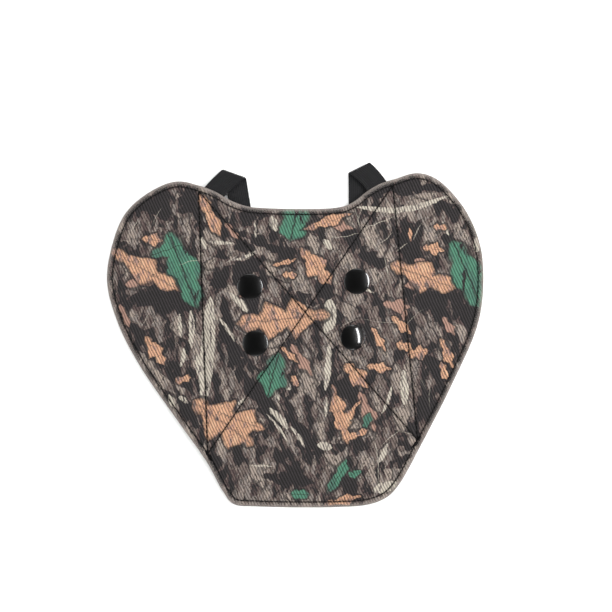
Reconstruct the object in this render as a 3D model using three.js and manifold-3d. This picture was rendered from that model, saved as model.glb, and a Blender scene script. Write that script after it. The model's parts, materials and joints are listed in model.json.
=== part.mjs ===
// A lobed cloth face mask lying on its back: a quilted panel in three pockets, which folds along two
// stitched lines, with four snap fasteners and two elastic straps snapped onto its back.
// Millimetres, +Z up. The front of the panel faces +Z and its neck edge faces +Y. The origin is under
// the middle of the whole object, on the surface that it lies on.

import * as THREE from "three";
import { mergeVertices } from "three/addons/utils/BufferGeometryUtils.js";
import Module from "manifold-3d";

const wasm = await Module();
wasm.setup();

// ---------------------------------------------------------------- driving dimensions

// Panel outline: the pattern piece below is drawn at its own size and scaled to these two.
const PANEL_WIDTH = 226.5;
const PANEL_HEIGHT = 199;

// Layers, from the back to the front
const LINING = 0.6;
const PADDING = 1.4;
const FRONT_CLOTH = 0.7;
const GAP = 0.3; // clearance between pieces that touch
const EDGE_HALF = 1.1; // half the thickness of a pocket at its sewn edge
const RIM = 2.5; // width over which a pocket thins down to its sewn edge; the padding stops there
const MOST_ROW_STEP = 13; // longest facet along a pocket

// The two fold lines: where each crosses Y = 0, and how far its top leans towards the middle
const LEFT_FOLD = { x: -58, lean: 0 };
const RIGHT_FOLD = { x: 64, lean: 3.6 };
const FOLD_GAP = 1.3; // from a fold line to the pocket on either side of it
const FOLD_STITCH_RADIUS = 0.5; // the stitched line that each wing turns on

// Thread
const THREAD_RADIUS = 0.3;
const STITCH_INSET = 3.3; // from the outline to the line of edge stitching
const EDGE_STITCH_STEP = 9;
const CROSS_STITCH_STEP = 5;

// Snap fasteners: moulded caps with a post, sockets behind the panel, studs on the straps
const SNAPS = {
  upper_left: [-29, 27],
  upper_right: [35, 28],
  lower_left: [-27, -7],
  lower_right: [31.5, -5.5],
};
const CAP_DIAMETER = 15;
const CAP_HEIGHT = 2;
const CAP_EDGE = 0.7; // height of the cap's rounded rim
const POST_RADIUS = 1;
const RIVET_RADIUS = 1.6; // the post's flattened end
const RIVET_THICKNESS = 0.4;
const SOCKET_DIAMETER = 10.6;
const SOCKET_HEIGHT = 2;
const SOCKET_PLATE = 0.6; // the closed end that the post goes through
const SOCKET_BORE_RADIUS = 2.2;
const SOCKET_RIM_RADIUS = 3.4;
const STUD_DIAMETER = 10.2;
const STUD_FLANGE = 0.7;
const STUD_BORE_RADIUS = 1.1;
const STRAP_CAP_DIAMETER = 11.6;
const STRAP_CAP_HEIGHT = 1.3;
const STRAP_POST_RADIUS = 0.75;
const ROUND_SIDES = 18;

// Elastic straps
const STRAP_WIDTH = 12.7;
const STRAP_THICKNESS = 0.9;
const STRAP_EXITS = { left: -49, right: 48.5 }; // where each leaves the neck edge
const STRAP_RISE = 14.5; // from the edge to the crease
const STRAP_RISE_ANGLE = 39; // of that run, above the horizontal
const STRAP_TUCK = 3.6; // sewn into the seam
const STRAP_END = 9; // past the middle of the stud

// ---------------------------------------------------------------- heights that follow from them

const MID = LINING + GAP + PADDING / 2; // mid-plane of a pocket above its lining's back
const THICKNESS = LINING + GAP + PADDING + GAP + FRONT_CLOTH;
const STRAP_BACK = STRAP_CAP_HEIGHT + GAP;
const STRAP_FRONT = STRAP_BACK + STRAP_THICKNESS;
const SNAP_LIFT = STRAP_FRONT + GAP + STUD_FLANGE + GAP + SOCKET_HEIGHT + GAP;
const FOLD_LIFT = STRAP_FRONT + GAP;
const STRAP_SEAM_Z = FOLD_LIFT + MID; // the tucked run lies at the seam's mid-plane
const SNAP_FLAT = CAP_DIAMETER / 2 + 1; // the panel stays level this far round each snap

const tan = (degrees) => Math.tan(THREE.MathUtils.degToRad(degrees));
const { lerp, clamp } = THREE.MathUtils;

// ---------------------------------------------------------------- solids

function toSolid(geometry) {
  const bare = new THREE.BufferGeometry().setAttribute("position", geometry.getAttribute("position"));
  if (geometry.index) bare.setIndex(geometry.index);
  const merged = mergeVertices(bare.index ? bare.toNonIndexed() : bare, 1e-4);
  const vertProperties = new Float32Array(merged.attributes.position.array);
  return new wasm.Manifold(
    new wasm.Mesh({ numProp: 3, vertProperties, triVerts: new Uint32Array(merged.index.array) }),
  );
}

function toGeometry(solid) {
  const mesh = solid.getMesh();
  const geometry = new THREE.BufferGeometry();
  geometry.setAttribute("position", new THREE.BufferAttribute(mesh.vertProperties, 3));
  geometry.setIndex(new THREE.BufferAttribute(mesh.triVerts, 1));
  return geometry;
}

function cut(geometry, tools) {
  return toGeometry(tools.reduce((solid, tool) => solid.subtract(toSolid(tool)), toSolid(geometry)));
}

// A turned piece about a vertical axis at [x, y]: profile points are [radius, height].
function turned(profile, [x, y] = [0, 0], base = 0) {
  const points = profile.map(([radius, height]) => new THREE.Vector2(radius, height));
  const geometry = new THREE.LatheGeometry(points, ROUND_SIDES);
  return geometry.rotateX(Math.PI / 2).translate(x, y, base);
}

function drill(radius, [x, y]) {
  const depth = 4 * SNAP_LIFT;
  return new THREE.CylinderGeometry(radius, radius, depth, ROUND_SIDES).rotateX(Math.PI / 2).translate(x, y, 0);
}

// A flat strip whose corners are given in order, from height low to height high.
function strip(corners, low, high) {
  const shape = new THREE.Shape(corners);
  return new THREE.ExtrudeGeometry(shape, { depth: high - low, bevelEnabled: false }).translate(0, 0, low);
}

// A thread along points in space, straight over each step of its length.
function thread(points, step) {
  const path = new THREE.CatmullRomCurve3(points, false, "centripetal");
  const section = new THREE.Shape();
  for (let side = 0; side < 6; side++) {
    const angle = (side * Math.PI) / 3;
    section[side ? "lineTo" : "moveTo"](THREAD_RADIUS * Math.cos(angle), THREAD_RADIUS * Math.sin(angle));
  }
  const steps = Math.max(2, Math.round(path.getLength() / step));
  return new THREE.ExtrudeGeometry(section, { steps, extrudePath: path });
}

// ---------------------------------------------------------------- outline and folds

// Half patterns, from the neck to the hem, in millimetres on a pattern of this size
const PATTERN = { width: 226.5, height: 199 };
const LEFT_EDGE = [
  [-20, 74], [-30, 75.6], [-38.5, 79], [-48, 84.8], [-57, 88.6], [-71, 91.8], [-86.8, 86.4], [-102.6, 73.7],
  [-112.2, 51.6], [-115, 32], [-109.4, 7.9], [-97.7, -17.1], [-74.7, -53.1], [-58.8, -77.3], [-49.8, -95.3], [-43.8, -103.2],
  [-30, -105.2],
];
const RIGHT_EDGE = [
  [26, 72.8], [34.5, 75.6], [42.5, 81.4], [50.5, 85.8], [60, 88.6], [73.5, 91.8], [85, 88], [101.1, 70.1],
  [110, 48], [111.3, 24], [107, -0.5], [90, -36.2], [70.3, -71.5], [56.3, -95], [49.2, -102.2], [38, -106.4],
  [20, -107.3],
];

function outlinePoints() {
  const scale = ([x, y]) =>
    new THREE.Vector3((x * PANEL_WIDTH) / PATTERN.width, (y * PANEL_HEIGHT) / PATTERN.height, 0);
  const around = [...LEFT_EDGE.map(scale).reverse(), ...RIGHT_EDGE.map(scale)];
  const curve = new THREE.CatmullRomCurve3(around, true, "centripetal");
  return curve.getSpacedPoints(280).slice(0, -1);
}
const OUTLINE = outlinePoints();

const slopeOf = (fold) => (fold === LEFT_FOLD ? 1 : -1) * tan(fold.lean);
const foldX = (fold, y) => fold.x + slopeOf(fold) * y;

// How far a point is from the nearer fold line, towards the middle; it is negative on a wing.
const insideFolds = (x, y) => Math.min(x - foldX(LEFT_FOLD, y), foldX(RIGHT_FOLD, y) - x);

// Lowest and highest Y at which a column, x = x0 + slope * y, crosses the outline.
function chord({ x0, slope }) {
  const crossings = OUTLINE.flatMap((a, i) => {
    const b = OUTLINE[(i + 1) % OUTLINE.length];
    const [da, db] = [a, b].map((p) => p.x - x0 - slope * p.y);
    return da < 0 === db < 0 ? [] : [lerp(a.y, b.y, da / (da - db))];
  });
  return { low: Math.min(...crossings), high: Math.max(...crossings) };
}

const foldColumn = (fold, offset = 0) => ({ x0: fold.x + offset, slope: slopeOf(fold) });
const wingReach = {
  left: LEFT_FOLD.x - Math.min(...OUTLINE.map((p) => p.x - slopeOf(LEFT_FOLD) * p.y)),
  right: Math.max(...OUTLINE.map((p) => p.x - slopeOf(RIGHT_FOLD) * p.y)) - RIGHT_FOLD.x,
};

// ---------------------------------------------------------------- how the panel lies

const snapHeights = Object.values(SNAPS).map(([, y]) => y);
const FLAT_LOW = Math.min(...snapHeights) - SNAP_FLAT;
const FLAT_HIGH = Math.max(...snapHeights) + SNAP_FLAT;
const HEM_Y = Math.min(...OUTLINE.map((p) => p.y));
const NECK_Y = chord({ x0: 0, slope: 0 }).high;
const FOLD_FOOT_Y = Math.max(chord(foldColumn(LEFT_FOLD)).low, chord(foldColumn(RIGHT_FOLD)).low);
const RAMP = Math.min(
  ...Object.values(SNAPS).map(([x, y]) => insideFolds(x, y) - SNAP_FLAT),
);

const rise = (y, from, to) => clamp((y - from) / (to - from), 0, 1);

// Height of the lining's back above the surface: level over the snaps, lower towards the neck and
// the folds, down to the surface at the hem and at the tips of the wings.
function lift(x, y) {
  const inside = insideFolds(x, y);
  if (inside < 0) {
    const reach = x < 0 ? wingReach.left : wingReach.right;
    return Math.max(0, FOLD_LIFT * (1 + inside / reach));
  }
  const side = FOLD_LIFT * rise(y, HEM_Y, FOLD_FOOT_Y);
  const below = SNAP_LIFT * rise(y, HEM_Y, FLAT_LOW);
  const above = lerp(SNAP_LIFT, FOLD_LIFT, rise(y, FLAT_HIGH, NECK_Y));
  const ridge = y < FLAT_LOW ? below : above;
  return lerp(side, ridge, clamp(inside / RAMP, 0, 1));
}

// ---------------------------------------------------------------- pockets

// Rows along one column, from its lower edge to its upper edge, with the rim's own row at each end
// and even rows between the stops.
function rowsOf({ low, high }, stops) {
  const rim = Math.min(RIM, (high - low) / 4);
  const marks = [low + rim, ...stops.map(({ y }) => y), high - rim];
  const rows = [low];
  for (let i = 1; i < marks.length; i++) {
    const count = i <= stops.length ? stops[i - 1].steps : stops.lastSteps;
    for (let k = 0; k < count; k++) rows.push(lerp(marks[i - 1], marks[i], k / count));
  }
  return [...rows, high - rim, high];
}

// Points of a pocket, column by column.
function pocketGrid(columns, stops) {
  return columns.map((column) =>
    rowsOf(chord(column), stops).map((y) => ({ x: column.x0 + column.slope * y, y })),
  );
}

// The grid with each point marked if it lies on the edge.
function withEdge(grid) {
  const atEnd = (k, list) => k === 0 || k === list.length - 1;
  return grid.map((column, i) => column.map((p, j) => ({ ...p, edge: atEnd(i, grid) || atEnd(j, column) })));
}

// A closed sheet over a grid between two heights above the lining's back.
function sheet(grid, bottom, top) {
  const rows = grid[0].length;
  const at = (heights) =>
    grid.flat().map((p) => [p.x, p.y, lift(p.x, p.y) + (p.edge ? heights.edge : heights.inner)]);
  const positions = [...at(bottom), ...at(top)].flat();
  const upper = grid.length * rows;
  const index = [];
  const quad = (a, b, c, d) => index.push(a, b, c, a, c, d);
  for (let i = 0; i < grid.length - 1; i++) {
    for (let j = 0; j < rows - 1; j++) {
      const [a, b, c, d] = [i * rows + j, (i + 1) * rows + j, (i + 1) * rows + j + 1, i * rows + j + 1];
      quad(upper + a, upper + b, upper + c, upper + d);
      quad(a, d, c, b);
    }
  }
  const last = (grid.length - 1) * rows;
  const rim = [];
  for (let i = 0; i < grid.length - 1; i++) rim.push(i * rows);
  for (let j = 0; j < rows - 1; j++) rim.push(last + j);
  for (let i = grid.length - 1; i > 0; i--) rim.push(i * rows + rows - 1);
  for (let j = rows - 1; j > 0; j--) rim.push(j);
  rim.forEach((a, k) => {
    const b = rim[(k + 1) % rim.length];
    quad(a, b, upper + b, upper + a);
  });
  const geometry = new THREE.BufferGeometry();
  geometry.setAttribute("position", new THREE.Float32BufferAttribute(positions, 3));
  geometry.setIndex(index);
  return geometry;
}

const LAYERS = {
  front: {
    bottom: { edge: MID + GAP / 2, inner: MID + PADDING / 2 + GAP },
    top: { edge: MID + EDGE_HALF, inner: THICKNESS },
  },
  lining: {
    bottom: { edge: MID - EDGE_HALF, inner: 0 },
    top: { edge: MID - GAP / 2, inner: LINING },
  },
  padding: {
    bottom: { edge: MID - PADDING / 4, inner: MID - PADDING / 2 },
    top: { edge: MID + PADDING / 4, inner: MID + PADDING / 2 },
  },
};

function centreColumns() {
  const width = RIGHT_FOLD.x - LEFT_FOLD.x;
  const rim = FOLD_GAP + RIM;
  const near = [FOLD_GAP, rim, lerp(rim, RAMP, 0.5), RAMP].map((offset) => offset / width);
  const [from, to] = [near.at(-1), 1 - near.at(-1)];
  const between = [1, 2, 3, 4].map((k) => lerp(from, to, k / 5));
  const shares = [...near, ...between, ...near.map((share) => 1 - share).reverse()];
  return shares.map((share) => ({
    x0: lerp(LEFT_FOLD.x, RIGHT_FOLD.x, share),
    slope: lerp(slopeOf(LEFT_FOLD), slopeOf(RIGHT_FOLD), share),
  }));
}

// Columns of a wing run away from its fold, closer together where the outline turns in.
function wingColumns(side) {
  const [fold, reach, sign] =
    side === "left" ? [LEFT_FOLD, wingReach.left, -1] : [RIGHT_FOLD, wingReach.right, 1];
  const end = reach - 0.4; // a short straight stretch closes the grid at the lobe's tip
  const inner = [0.25, 0.5, 0.7, 0.86].map((share) => lerp(FOLD_GAP, end, share));
  const offsets = [FOLD_GAP, FOLD_GAP + RIM, ...inner, end - RIM, end];
  const columns = offsets.map((offset) => foldColumn(fold, sign * offset));
  return side === "left" ? columns.reverse() : columns;
}

const stepsFor = (length) => Math.max(1, Math.round(length / MOST_ROW_STEP));
const CENTRE_STOPS = Object.assign(
  [
    { y: FLAT_LOW, steps: stepsFor(FLAT_LOW - HEM_Y) },
    { y: FLAT_HIGH, steps: stepsFor(FLAT_HIGH - FLAT_LOW) },
  ],
  { lastSteps: stepsFor(NECK_Y - FLAT_HIGH) },
);
const WING_STOPS = Object.assign([], { lastSteps: 7 });

// The padding fills the grid inside the rim, so that it stays parallel to the cloth over it.
function pocket(name) {
  const columns = name === "centre" ? centreColumns() : wingColumns(name);
  const grid = pocketGrid(columns, name === "centre" ? CENTRE_STOPS : WING_STOPS);
  const cover = withEdge(grid);
  const filling = withEdge(grid.slice(1, -1).map((column) => column.slice(1, -1)));
  return {
    front: sheet(cover, LAYERS.front.bottom, LAYERS.front.top),
    padding: sheet(filling, LAYERS.padding.bottom, LAYERS.padding.top),
    lining: sheet(cover, LAYERS.lining.bottom, LAYERS.lining.top),
  };
}

// ---------------------------------------------------------------- stitching

const COVERS = {
  centre: pocket("centre"),
  left: pocket("left"),
  right: pocket("right"),
};

// A point of a thread's path, lying on the front cloth of a pocket.
const ray = new THREE.Raycaster();
const DOWN = new THREE.Vector3(0, 0, -1);
function onFront(name, x, y) {
  const cover = new THREE.Mesh(COVERS[name].front, new THREE.MeshStandardMaterial());
  ray.set(new THREE.Vector3(x, y, 4 * SNAP_LIFT), DOWN);
  const [hit] = ray.intersectObject(cover);
  const top = hit ? hit.point.z : lift(x, y) + THICKNESS;
  return new THREE.Vector3(x, y, top + GAP + THREAD_RADIUS);
}

// The outline moved inwards by the stitch inset.
const STITCH_LOOP = OUTLINE.map((p, i) => {
  const before = OUTLINE[(i + OUTLINE.length - 1) % OUTLINE.length];
  const after = OUTLINE[(i + 1) % OUTLINE.length];
  const along = new THREE.Vector3().subVectors(after, before).normalize();
  return new THREE.Vector3(p.x + along.y * STITCH_INSET, p.y - along.x * STITCH_INSET, 0);
});

// The stretch of edge stitching whose points pass a test, as one thread.
function edgeStitch(name, keep) {
  const count = STITCH_LOOP.length;
  const start = STITCH_LOOP.findIndex((p, i) => keep(p) && !keep(STITCH_LOOP.at(i - 1)));
  const run = [];
  for (let i = start; keep(STITCH_LOOP[i % count]); i++) run.push(STITCH_LOOP[i % count]);
  const kept = run.filter((p, i) => i % 2 === 0 || i === run.length - 1);
  return thread(kept.map((p) => onFront(name, p.x, p.y)), EDGE_STITCH_STEP);
}

const STITCH_FROM_FOLD = FOLD_GAP + THREAD_RADIUS + GAP;
const inCentre = (p) => insideFolds(p.x, p.y) > STITCH_FROM_FOLD;
const onWing = (side) => (p) => insideFolds(p.x, p.y) < -STITCH_FROM_FOLD && p.x < 0 === (side === "left");

function foldEnds(fold) {
  const { low, high } = chord(foldColumn(fold));
  return [low, high].map((y) => new THREE.Vector3(foldX(fold, y), y, FOLD_LIFT + MID));
}

// The diagonal from the head of one fold line to the foot of the other, over the front cloth and
// clear of the edge stitching.
function diagonalStitch(headFold, footFold) {
  const [, head] = foldEnds(headFold);
  const [foot] = foldEnds(footFold);
  const room = 2 * THREAD_RADIUS + 2 * GAP;
  const edges = STITCH_LOOP.map((p, i) => new THREE.Line3(STITCH_LOOP.at(i - 1), p));
  const nearest = new THREE.Vector3();
  const flat = (p) => new THREE.Vector3(p.x, p.y, 0);
  const clear = (p) => edges.every((e) => e.closestPointToPoint(flat(p), true, nearest).distanceTo(flat(p)) > room);
  const steps = Math.round(head.distanceTo(foot));
  const points = [];
  for (let k = 1; k < steps; k++) points.push(new THREE.Vector3().lerpVectors(head, foot, k / steps));
  const kept = points.filter((p) => clear(p) && insideFolds(p.x, p.y) > STITCH_INSET);
  return thread(kept.map((p) => onFront("centre", p.x, p.y)), CROSS_STITCH_STEP);
}

function crossStitch() {
  const one = toSolid(diagonalStitch(LEFT_FOLD, RIGHT_FOLD));
  return toGeometry(one.add(toSolid(diagonalStitch(RIGHT_FOLD, LEFT_FOLD))));
}

function foldStitch(fold) {
  const [foot, head] = foldEnds(fold);
  const end = new THREE.Vector3().subVectors(head, foot).setLength(EDGE_HALF);
  const rod = new THREE.LineCurve3(foot.add(end), head.sub(end));
  const round = new THREE.Shape().absarc(0, 0, FOLD_STITCH_RADIUS, 0, 2 * Math.PI);
  return new THREE.ExtrudeGeometry(round, { steps: 1, curveSegments: 4, extrudePath: rod });
}

// ---------------------------------------------------------------- snap fasteners

// Points of a shallow dome from its rim at height low to its crown on the axis.
function dome(radius, low, high) {
  const points = [];
  for (let k = 0; k <= 4; k++) {
    const angle = (k * Math.PI) / 8;
    points.push([radius * Math.cos(angle), low + (high - low) * Math.sin(angle)]);
  }
  points[4][0] = 0;
  return points;
}

// The cap's flat back is at height 0, and its post reaches down through the panel into the socket.
function panelCap(spot) {
  const radius = CAP_DIAMETER / 2;
  const plateBack = -GAP - THICKNESS - GAP - SOCKET_PLATE - GAP;
  const profile = [
    [0, plateBack - RIVET_THICKNESS],
    [RIVET_RADIUS, plateBack - RIVET_THICKNESS],
    [RIVET_RADIUS, plateBack],
    [POST_RADIUS, plateBack],
    [POST_RADIUS, 0],
    [radius - CAP_EDGE / 2, 0],
    [radius, CAP_EDGE / 2],
    ...dome(radius, CAP_EDGE, CAP_HEIGHT),
  ];
  return turned(profile, spot, SNAP_LIFT + THICKNESS + GAP);
}

function socket(spot) {
  const radius = SOCKET_DIAMETER / 2;
  const plateHole = POST_RADIUS + GAP;
  const shoulder = SOCKET_HEIGHT - SOCKET_PLATE;
  const profile = [
    [plateHole, shoulder],
    [SOCKET_BORE_RADIUS, shoulder],
    [SOCKET_BORE_RADIUS, 0],
    [SOCKET_RIM_RADIUS, 0],
    [SOCKET_RIM_RADIUS + 0.6, 0.6],
    [radius - 0.3, 0.8],
    [radius, 1.1],
    [radius, SOCKET_HEIGHT],
    [plateHole, SOCKET_HEIGHT],
    [plateHole, shoulder],
  ];
  return turned(profile, spot, SNAP_LIFT - GAP - SOCKET_HEIGHT);
}

// The stud's flange lies on the strap and its knob stands in the socket's bore.
function stud(spot) {
  const knobTop = STUD_FLANGE + GAP + SOCKET_HEIGHT - SOCKET_PLATE - 2 * GAP - RIVET_THICKNESS;
  const knobRadius = SOCKET_BORE_RADIUS - GAP;
  const radius = STUD_DIAMETER / 2;
  const profile = [
    [STUD_BORE_RADIUS, 0],
    [radius - 0.2, 0],
    [radius, 0.2],
    [radius, STUD_FLANGE - 0.2],
    [radius - 0.2, STUD_FLANGE],
    [knobRadius, STUD_FLANGE],
    [knobRadius, knobTop - 0.3],
    [knobRadius - 0.3, knobTop],
    [STUD_BORE_RADIUS, knobTop],
    [STUD_BORE_RADIUS, 0],
  ];
  return turned(profile, spot, STRAP_FRONT + GAP);
}

// The strap's own cap faces the surface, and its post ends inside the stud.
function strapCap(spot) {
  const radius = STRAP_CAP_DIAMETER / 2;
  const postTop = STRAP_FRONT + GAP + STUD_FLANGE;
  const profile = [
    [0, 0],
    [radius * 0.7, 0],
    [radius - 0.3, 0.4],
    [radius, 0.8],
    [radius, STRAP_CAP_HEIGHT],
    [STRAP_POST_RADIUS, STRAP_CAP_HEIGHT],
    [STRAP_POST_RADIUS, postTop],
    [0, postTop],
  ];
  return turned(profile, spot);
}

// ---------------------------------------------------------------- straps

// A strap leaves the seam, rises to its crease, folds back and runs down to its snap.
function strapRoute(side) {
  const exitX = STRAP_EXITS[side];
  const exit = new THREE.Vector2(exitX, chord({ x0: exitX, slope: 0 }).high);
  const angle = THREE.MathUtils.degToRad(side === "left" ? STRAP_RISE_ANGLE : 180 - STRAP_RISE_ANGLE);
  const out = new THREE.Vector2(Math.cos(angle), Math.sin(angle));
  const crease = exit.clone().addScaledVector(out, STRAP_RISE);
  const snap = new THREE.Vector2(...SNAPS["upper_" + side]);
  const back = snap.clone().sub(crease).normalize();
  const creaseLine = out.clone().sub(back).normalize();
  return { exit, out, crease, back, snap, creaseAxis: new THREE.Vector2(-creaseLine.y, creaseLine.x) };
}

// The corners of a run of strap, between a square end and the slanted crease.
function runCorners(end, along, crease, creaseAxis, room = 0) {
  const across = new THREE.Vector2(-along.y, along.x).multiplyScalar(STRAP_WIDTH / 2 + room);
  const sideways = creaseAxis.clone().multiplyScalar((STRAP_WIDTH / 2 + room) / across.clone().normalize().dot(creaseAxis));
  return [
    end.clone().sub(across),
    crease.clone().sub(sideways),
    crease.clone().add(sideways),
    end.clone().add(across),
  ];
}

function strapTail(side, room = 0) {
  const { exit, out, crease, creaseAxis } = strapRoute(side);
  const end = exit.clone().addScaledVector(out, -STRAP_TUCK - room);
  const half = STRAP_THICKNESS / 2 + room;
  const corners = runCorners(end, out, crease.clone().addScaledVector(out, -GAP), creaseAxis, room);
  return strip(corners, STRAP_SEAM_Z - half, STRAP_SEAM_Z + half);
}

function strapRun(side) {
  const { crease, back, snap, creaseAxis } = strapRoute(side);
  const end = snap.clone().addScaledVector(back, STRAP_END);
  const toCrease = back.clone().negate();
  const corners = runCorners(end, toCrease, crease.clone().addScaledVector(back, GAP), creaseAxis);
  return cut(strip(corners, STRAP_BACK, STRAP_FRONT), [drill(STRAP_POST_RADIUS + GAP, snap.toArray())]);
}

// ---------------------------------------------------------------- the object

const MATERIALS = {
  front: { color: 0x6f655c, roughness: 0.95, metalness: 0 },
  lining: { color: 0x4f4a45, roughness: 0.95, metalness: 0 },
  padding: { color: 0xd8d3c8, roughness: 1, metalness: 0 },
  thread: { color: 0x1b1817, roughness: 0.8, metalness: 0 },
  elastic: { color: 0x151618, roughness: 0.85, metalness: 0 },
  resin: { color: 0x060606, roughness: 0.12, metalness: 0 },
};

const mask = new THREE.Group();

function add(name, geometry, material) {
  const mesh = new THREE.Mesh(geometry, new THREE.MeshStandardMaterial(MATERIALS[material]));
  mesh.name = name;
  mask.add(mesh);
}

const { centre } = COVERS;
const spots = Object.entries(SNAPS);
const postHoles = spots.map(([, spot]) => drill(POST_RADIUS + GAP, spot));
const seamSlots = ["left", "right"].map((side) => strapTail(side, GAP));
add("front_cloth_centre", cut(centre.front, [...postHoles, ...seamSlots]), "front");
add("padding_centre", cut(centre.padding, [...postHoles, ...seamSlots]), "padding");
add("lining_centre", cut(centre.lining, [...postHoles, ...seamSlots]), "lining");

for (const side of ["left", "right"]) {
  const wing = COVERS[side];
  add("front_cloth_" + side + "_wing", wing.front, "front");
  add("padding_" + side + "_wing", wing.padding, "padding");
  add("lining_" + side + "_wing", wing.lining, "lining");
  add("edge_stitch_" + side + "_wing", edgeStitch(side, onWing(side)), "thread");
  add("fold_stitch_" + side, foldStitch(side === "left" ? LEFT_FOLD : RIGHT_FOLD), "thread");
}

add("edge_stitch_neck", edgeStitch("centre", (p) => inCentre(p) && p.y > 0), "thread");
add("edge_stitch_hem", edgeStitch("centre", (p) => inCentre(p) && p.y < 0), "thread");
add("cross_stitch", crossStitch(), "thread");

for (const [name, spot] of spots) {
  add("snap_cap_" + name, panelCap(spot), "resin");
  add("snap_socket_" + name, socket(spot), "resin");
}

for (const side of ["left", "right"]) {
  const { snap } = strapRoute(side);
  add("strap_tail_" + side, strapTail(side), "elastic");
  add("strap_run_" + side, strapRun(side), "elastic");
  add("strap_stud_" + side, stud(snap.toArray()), "resin");
  add("strap_cap_" + side, strapCap(snap.toArray()), "resin");
}

const box = new THREE.Box3().setFromObject(mask);
const middle = box.getCenter(new THREE.Vector3());
mask.position.set(-middle.x, -middle.y, -box.min.z);

export default mask;
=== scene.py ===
"""A quilted camouflage face mask with four snap fasteners and two elastic straps, lying on its back.

The sewn panel is drawn as a flat pattern in millimetres. Each of its three pockets is filled by a cloth
simulation, and the stitches, snaps and straps are then seated on it.
"""

import json
import math
import random

import bpy
import numpy as np
from bpy.props import FloatProperty, FloatVectorProperty, IntProperty, PointerProperty
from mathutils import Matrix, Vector
from mathutils.bvhtree import BVHTree
from mathutils.geometry import delaunay_2d_cdt


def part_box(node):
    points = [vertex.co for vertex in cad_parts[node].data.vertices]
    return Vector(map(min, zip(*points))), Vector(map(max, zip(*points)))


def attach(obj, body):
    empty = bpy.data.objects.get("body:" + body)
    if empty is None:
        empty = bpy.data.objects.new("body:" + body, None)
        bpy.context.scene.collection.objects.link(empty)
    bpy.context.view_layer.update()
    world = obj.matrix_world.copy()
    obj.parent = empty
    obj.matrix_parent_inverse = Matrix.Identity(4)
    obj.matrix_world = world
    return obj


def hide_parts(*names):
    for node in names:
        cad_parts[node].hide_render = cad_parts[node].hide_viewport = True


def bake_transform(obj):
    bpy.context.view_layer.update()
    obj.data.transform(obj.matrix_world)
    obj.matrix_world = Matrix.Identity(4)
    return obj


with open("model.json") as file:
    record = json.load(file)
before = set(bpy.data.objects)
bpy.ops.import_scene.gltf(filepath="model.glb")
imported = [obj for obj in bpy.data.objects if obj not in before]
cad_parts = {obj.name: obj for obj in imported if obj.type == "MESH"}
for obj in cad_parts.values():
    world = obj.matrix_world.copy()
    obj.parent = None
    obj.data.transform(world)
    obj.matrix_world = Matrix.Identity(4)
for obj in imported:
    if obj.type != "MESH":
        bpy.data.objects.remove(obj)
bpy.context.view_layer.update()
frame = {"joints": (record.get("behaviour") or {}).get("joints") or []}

bl_info = {
    "name": "Camo Face Mask",
    "version": (1, 0, 0),
    "blender": (4, 5, 0),
    "location": "View3D > Sidebar > Mask",
    "description": "Builds a quilted camouflage face mask with snap fasteners and elastic straps",
    "category": "Object",
}

MM = 0.001

# ------------------------------------------------------------------ the pattern, in millimetres

LEFT_EDGE = [
    (-20, 74), (-30, 75.6), (-38.5, 79), (-48, 84.8), (-57, 88.6), (-71, 91.8), (-86.8, 86.4),
    (-102.6, 73.7), (-112.2, 51.6), (-115, 32), (-109.4, 7.9), (-97.7, -17.1), (-74.7, -53.1),
    (-58.8, -77.3), (-49.8, -95.3), (-43.8, -103.2), (-30, -105.2),
]
RIGHT_EDGE = [
    (26, 72.8), (34.5, 75.6), (42.5, 81.4), (50.5, 85.8), (60, 88.6), (73.5, 91.8), (85, 88),
    (101.1, 70.1), (110, 48), (111.3, 24), (107, -0.5), (90, -36.2), (70.3, -71.5), (56.3, -95),
    (49.2, -102.2), (38, -106.4), (20, -107.3),
]
SNAPS = {
    "upper_left": (-29, 27),
    "upper_right": (35, 28),
    "lower_left": (-27, -7),
    "lower_right": (31.5, -5.5),
}
# Each fold line: its x where y is zero, and its lean to the middle
FOLDS = {"left": (-58, 0.0), "right": (64, math.tan(math.radians(3.6)))}
SIDES = ("left", "right")

# How the panel lies: raised over the snaps, lower at the folds, down to the surface at hem and wing tips
MIDDLE = 1.6  # from the lining's back to the middle of the padding
HALF = 1.65  # half the thickness of a filled pocket
FOLD_LIFT = 2.8
SNAP_LIFT = 6.1
FLAT_LOW, FLAT_HIGH = -15.5, 36.5  # the panel is level between these
RAMP = 18.7  # from a fold line to the level part
STITCH_INSET = 3.3  # from the outline to the edge stitching


def smooth(value, low, high):
    """Zero at low and below, one at high and above, with no kink between."""
    t = np.clip((value - low) / (high - low), 0, 1)
    return t * t * (3 - 2 * t)


def hollow(distance, width):
    """One along a line of stitches, falling away to either side."""
    return np.exp(-((distance / width) ** 2))


def rounded(points, per_span=24):
    """A closed centripetal curve through the points."""
    knots = np.array(points, float)
    count, out = len(knots), []
    for i in range(count):
        p = [knots[(i + k) % count] for k in (-1, 0, 1, 2)]
        t = np.concatenate([[0], np.cumsum([np.linalg.norm(b - a) ** 0.5 for a, b in zip(p, p[1:])])])
        for s in np.linspace(t[1], t[2], per_span, endpoint=False):

            def between(start, end, a, b):
                return (t[end] - s) / (t[end] - t[start]) * a + (s - t[start]) / (t[end] - t[start]) * b

            a = [between(k, k + 1, p[k], p[k + 1]) for k in range(3)]
            b = [between(k, k + 2, a[k], a[k + 1]) for k in range(2)]
            out.append(between(1, 2, *b))
    return np.array(out)


def spaced(line, step):
    """An open line's points at even steps of its length, ends included."""
    along = np.concatenate([[0], np.cumsum(np.linalg.norm(np.diff(line, axis=0), axis=1))])
    count = max(1, round(along[-1] / step))
    marks = np.linspace(0, along[-1], count + 1)
    return np.stack([np.interp(marks, along, line[:, k]) for k in range(line.shape[1])], axis=1)


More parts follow.
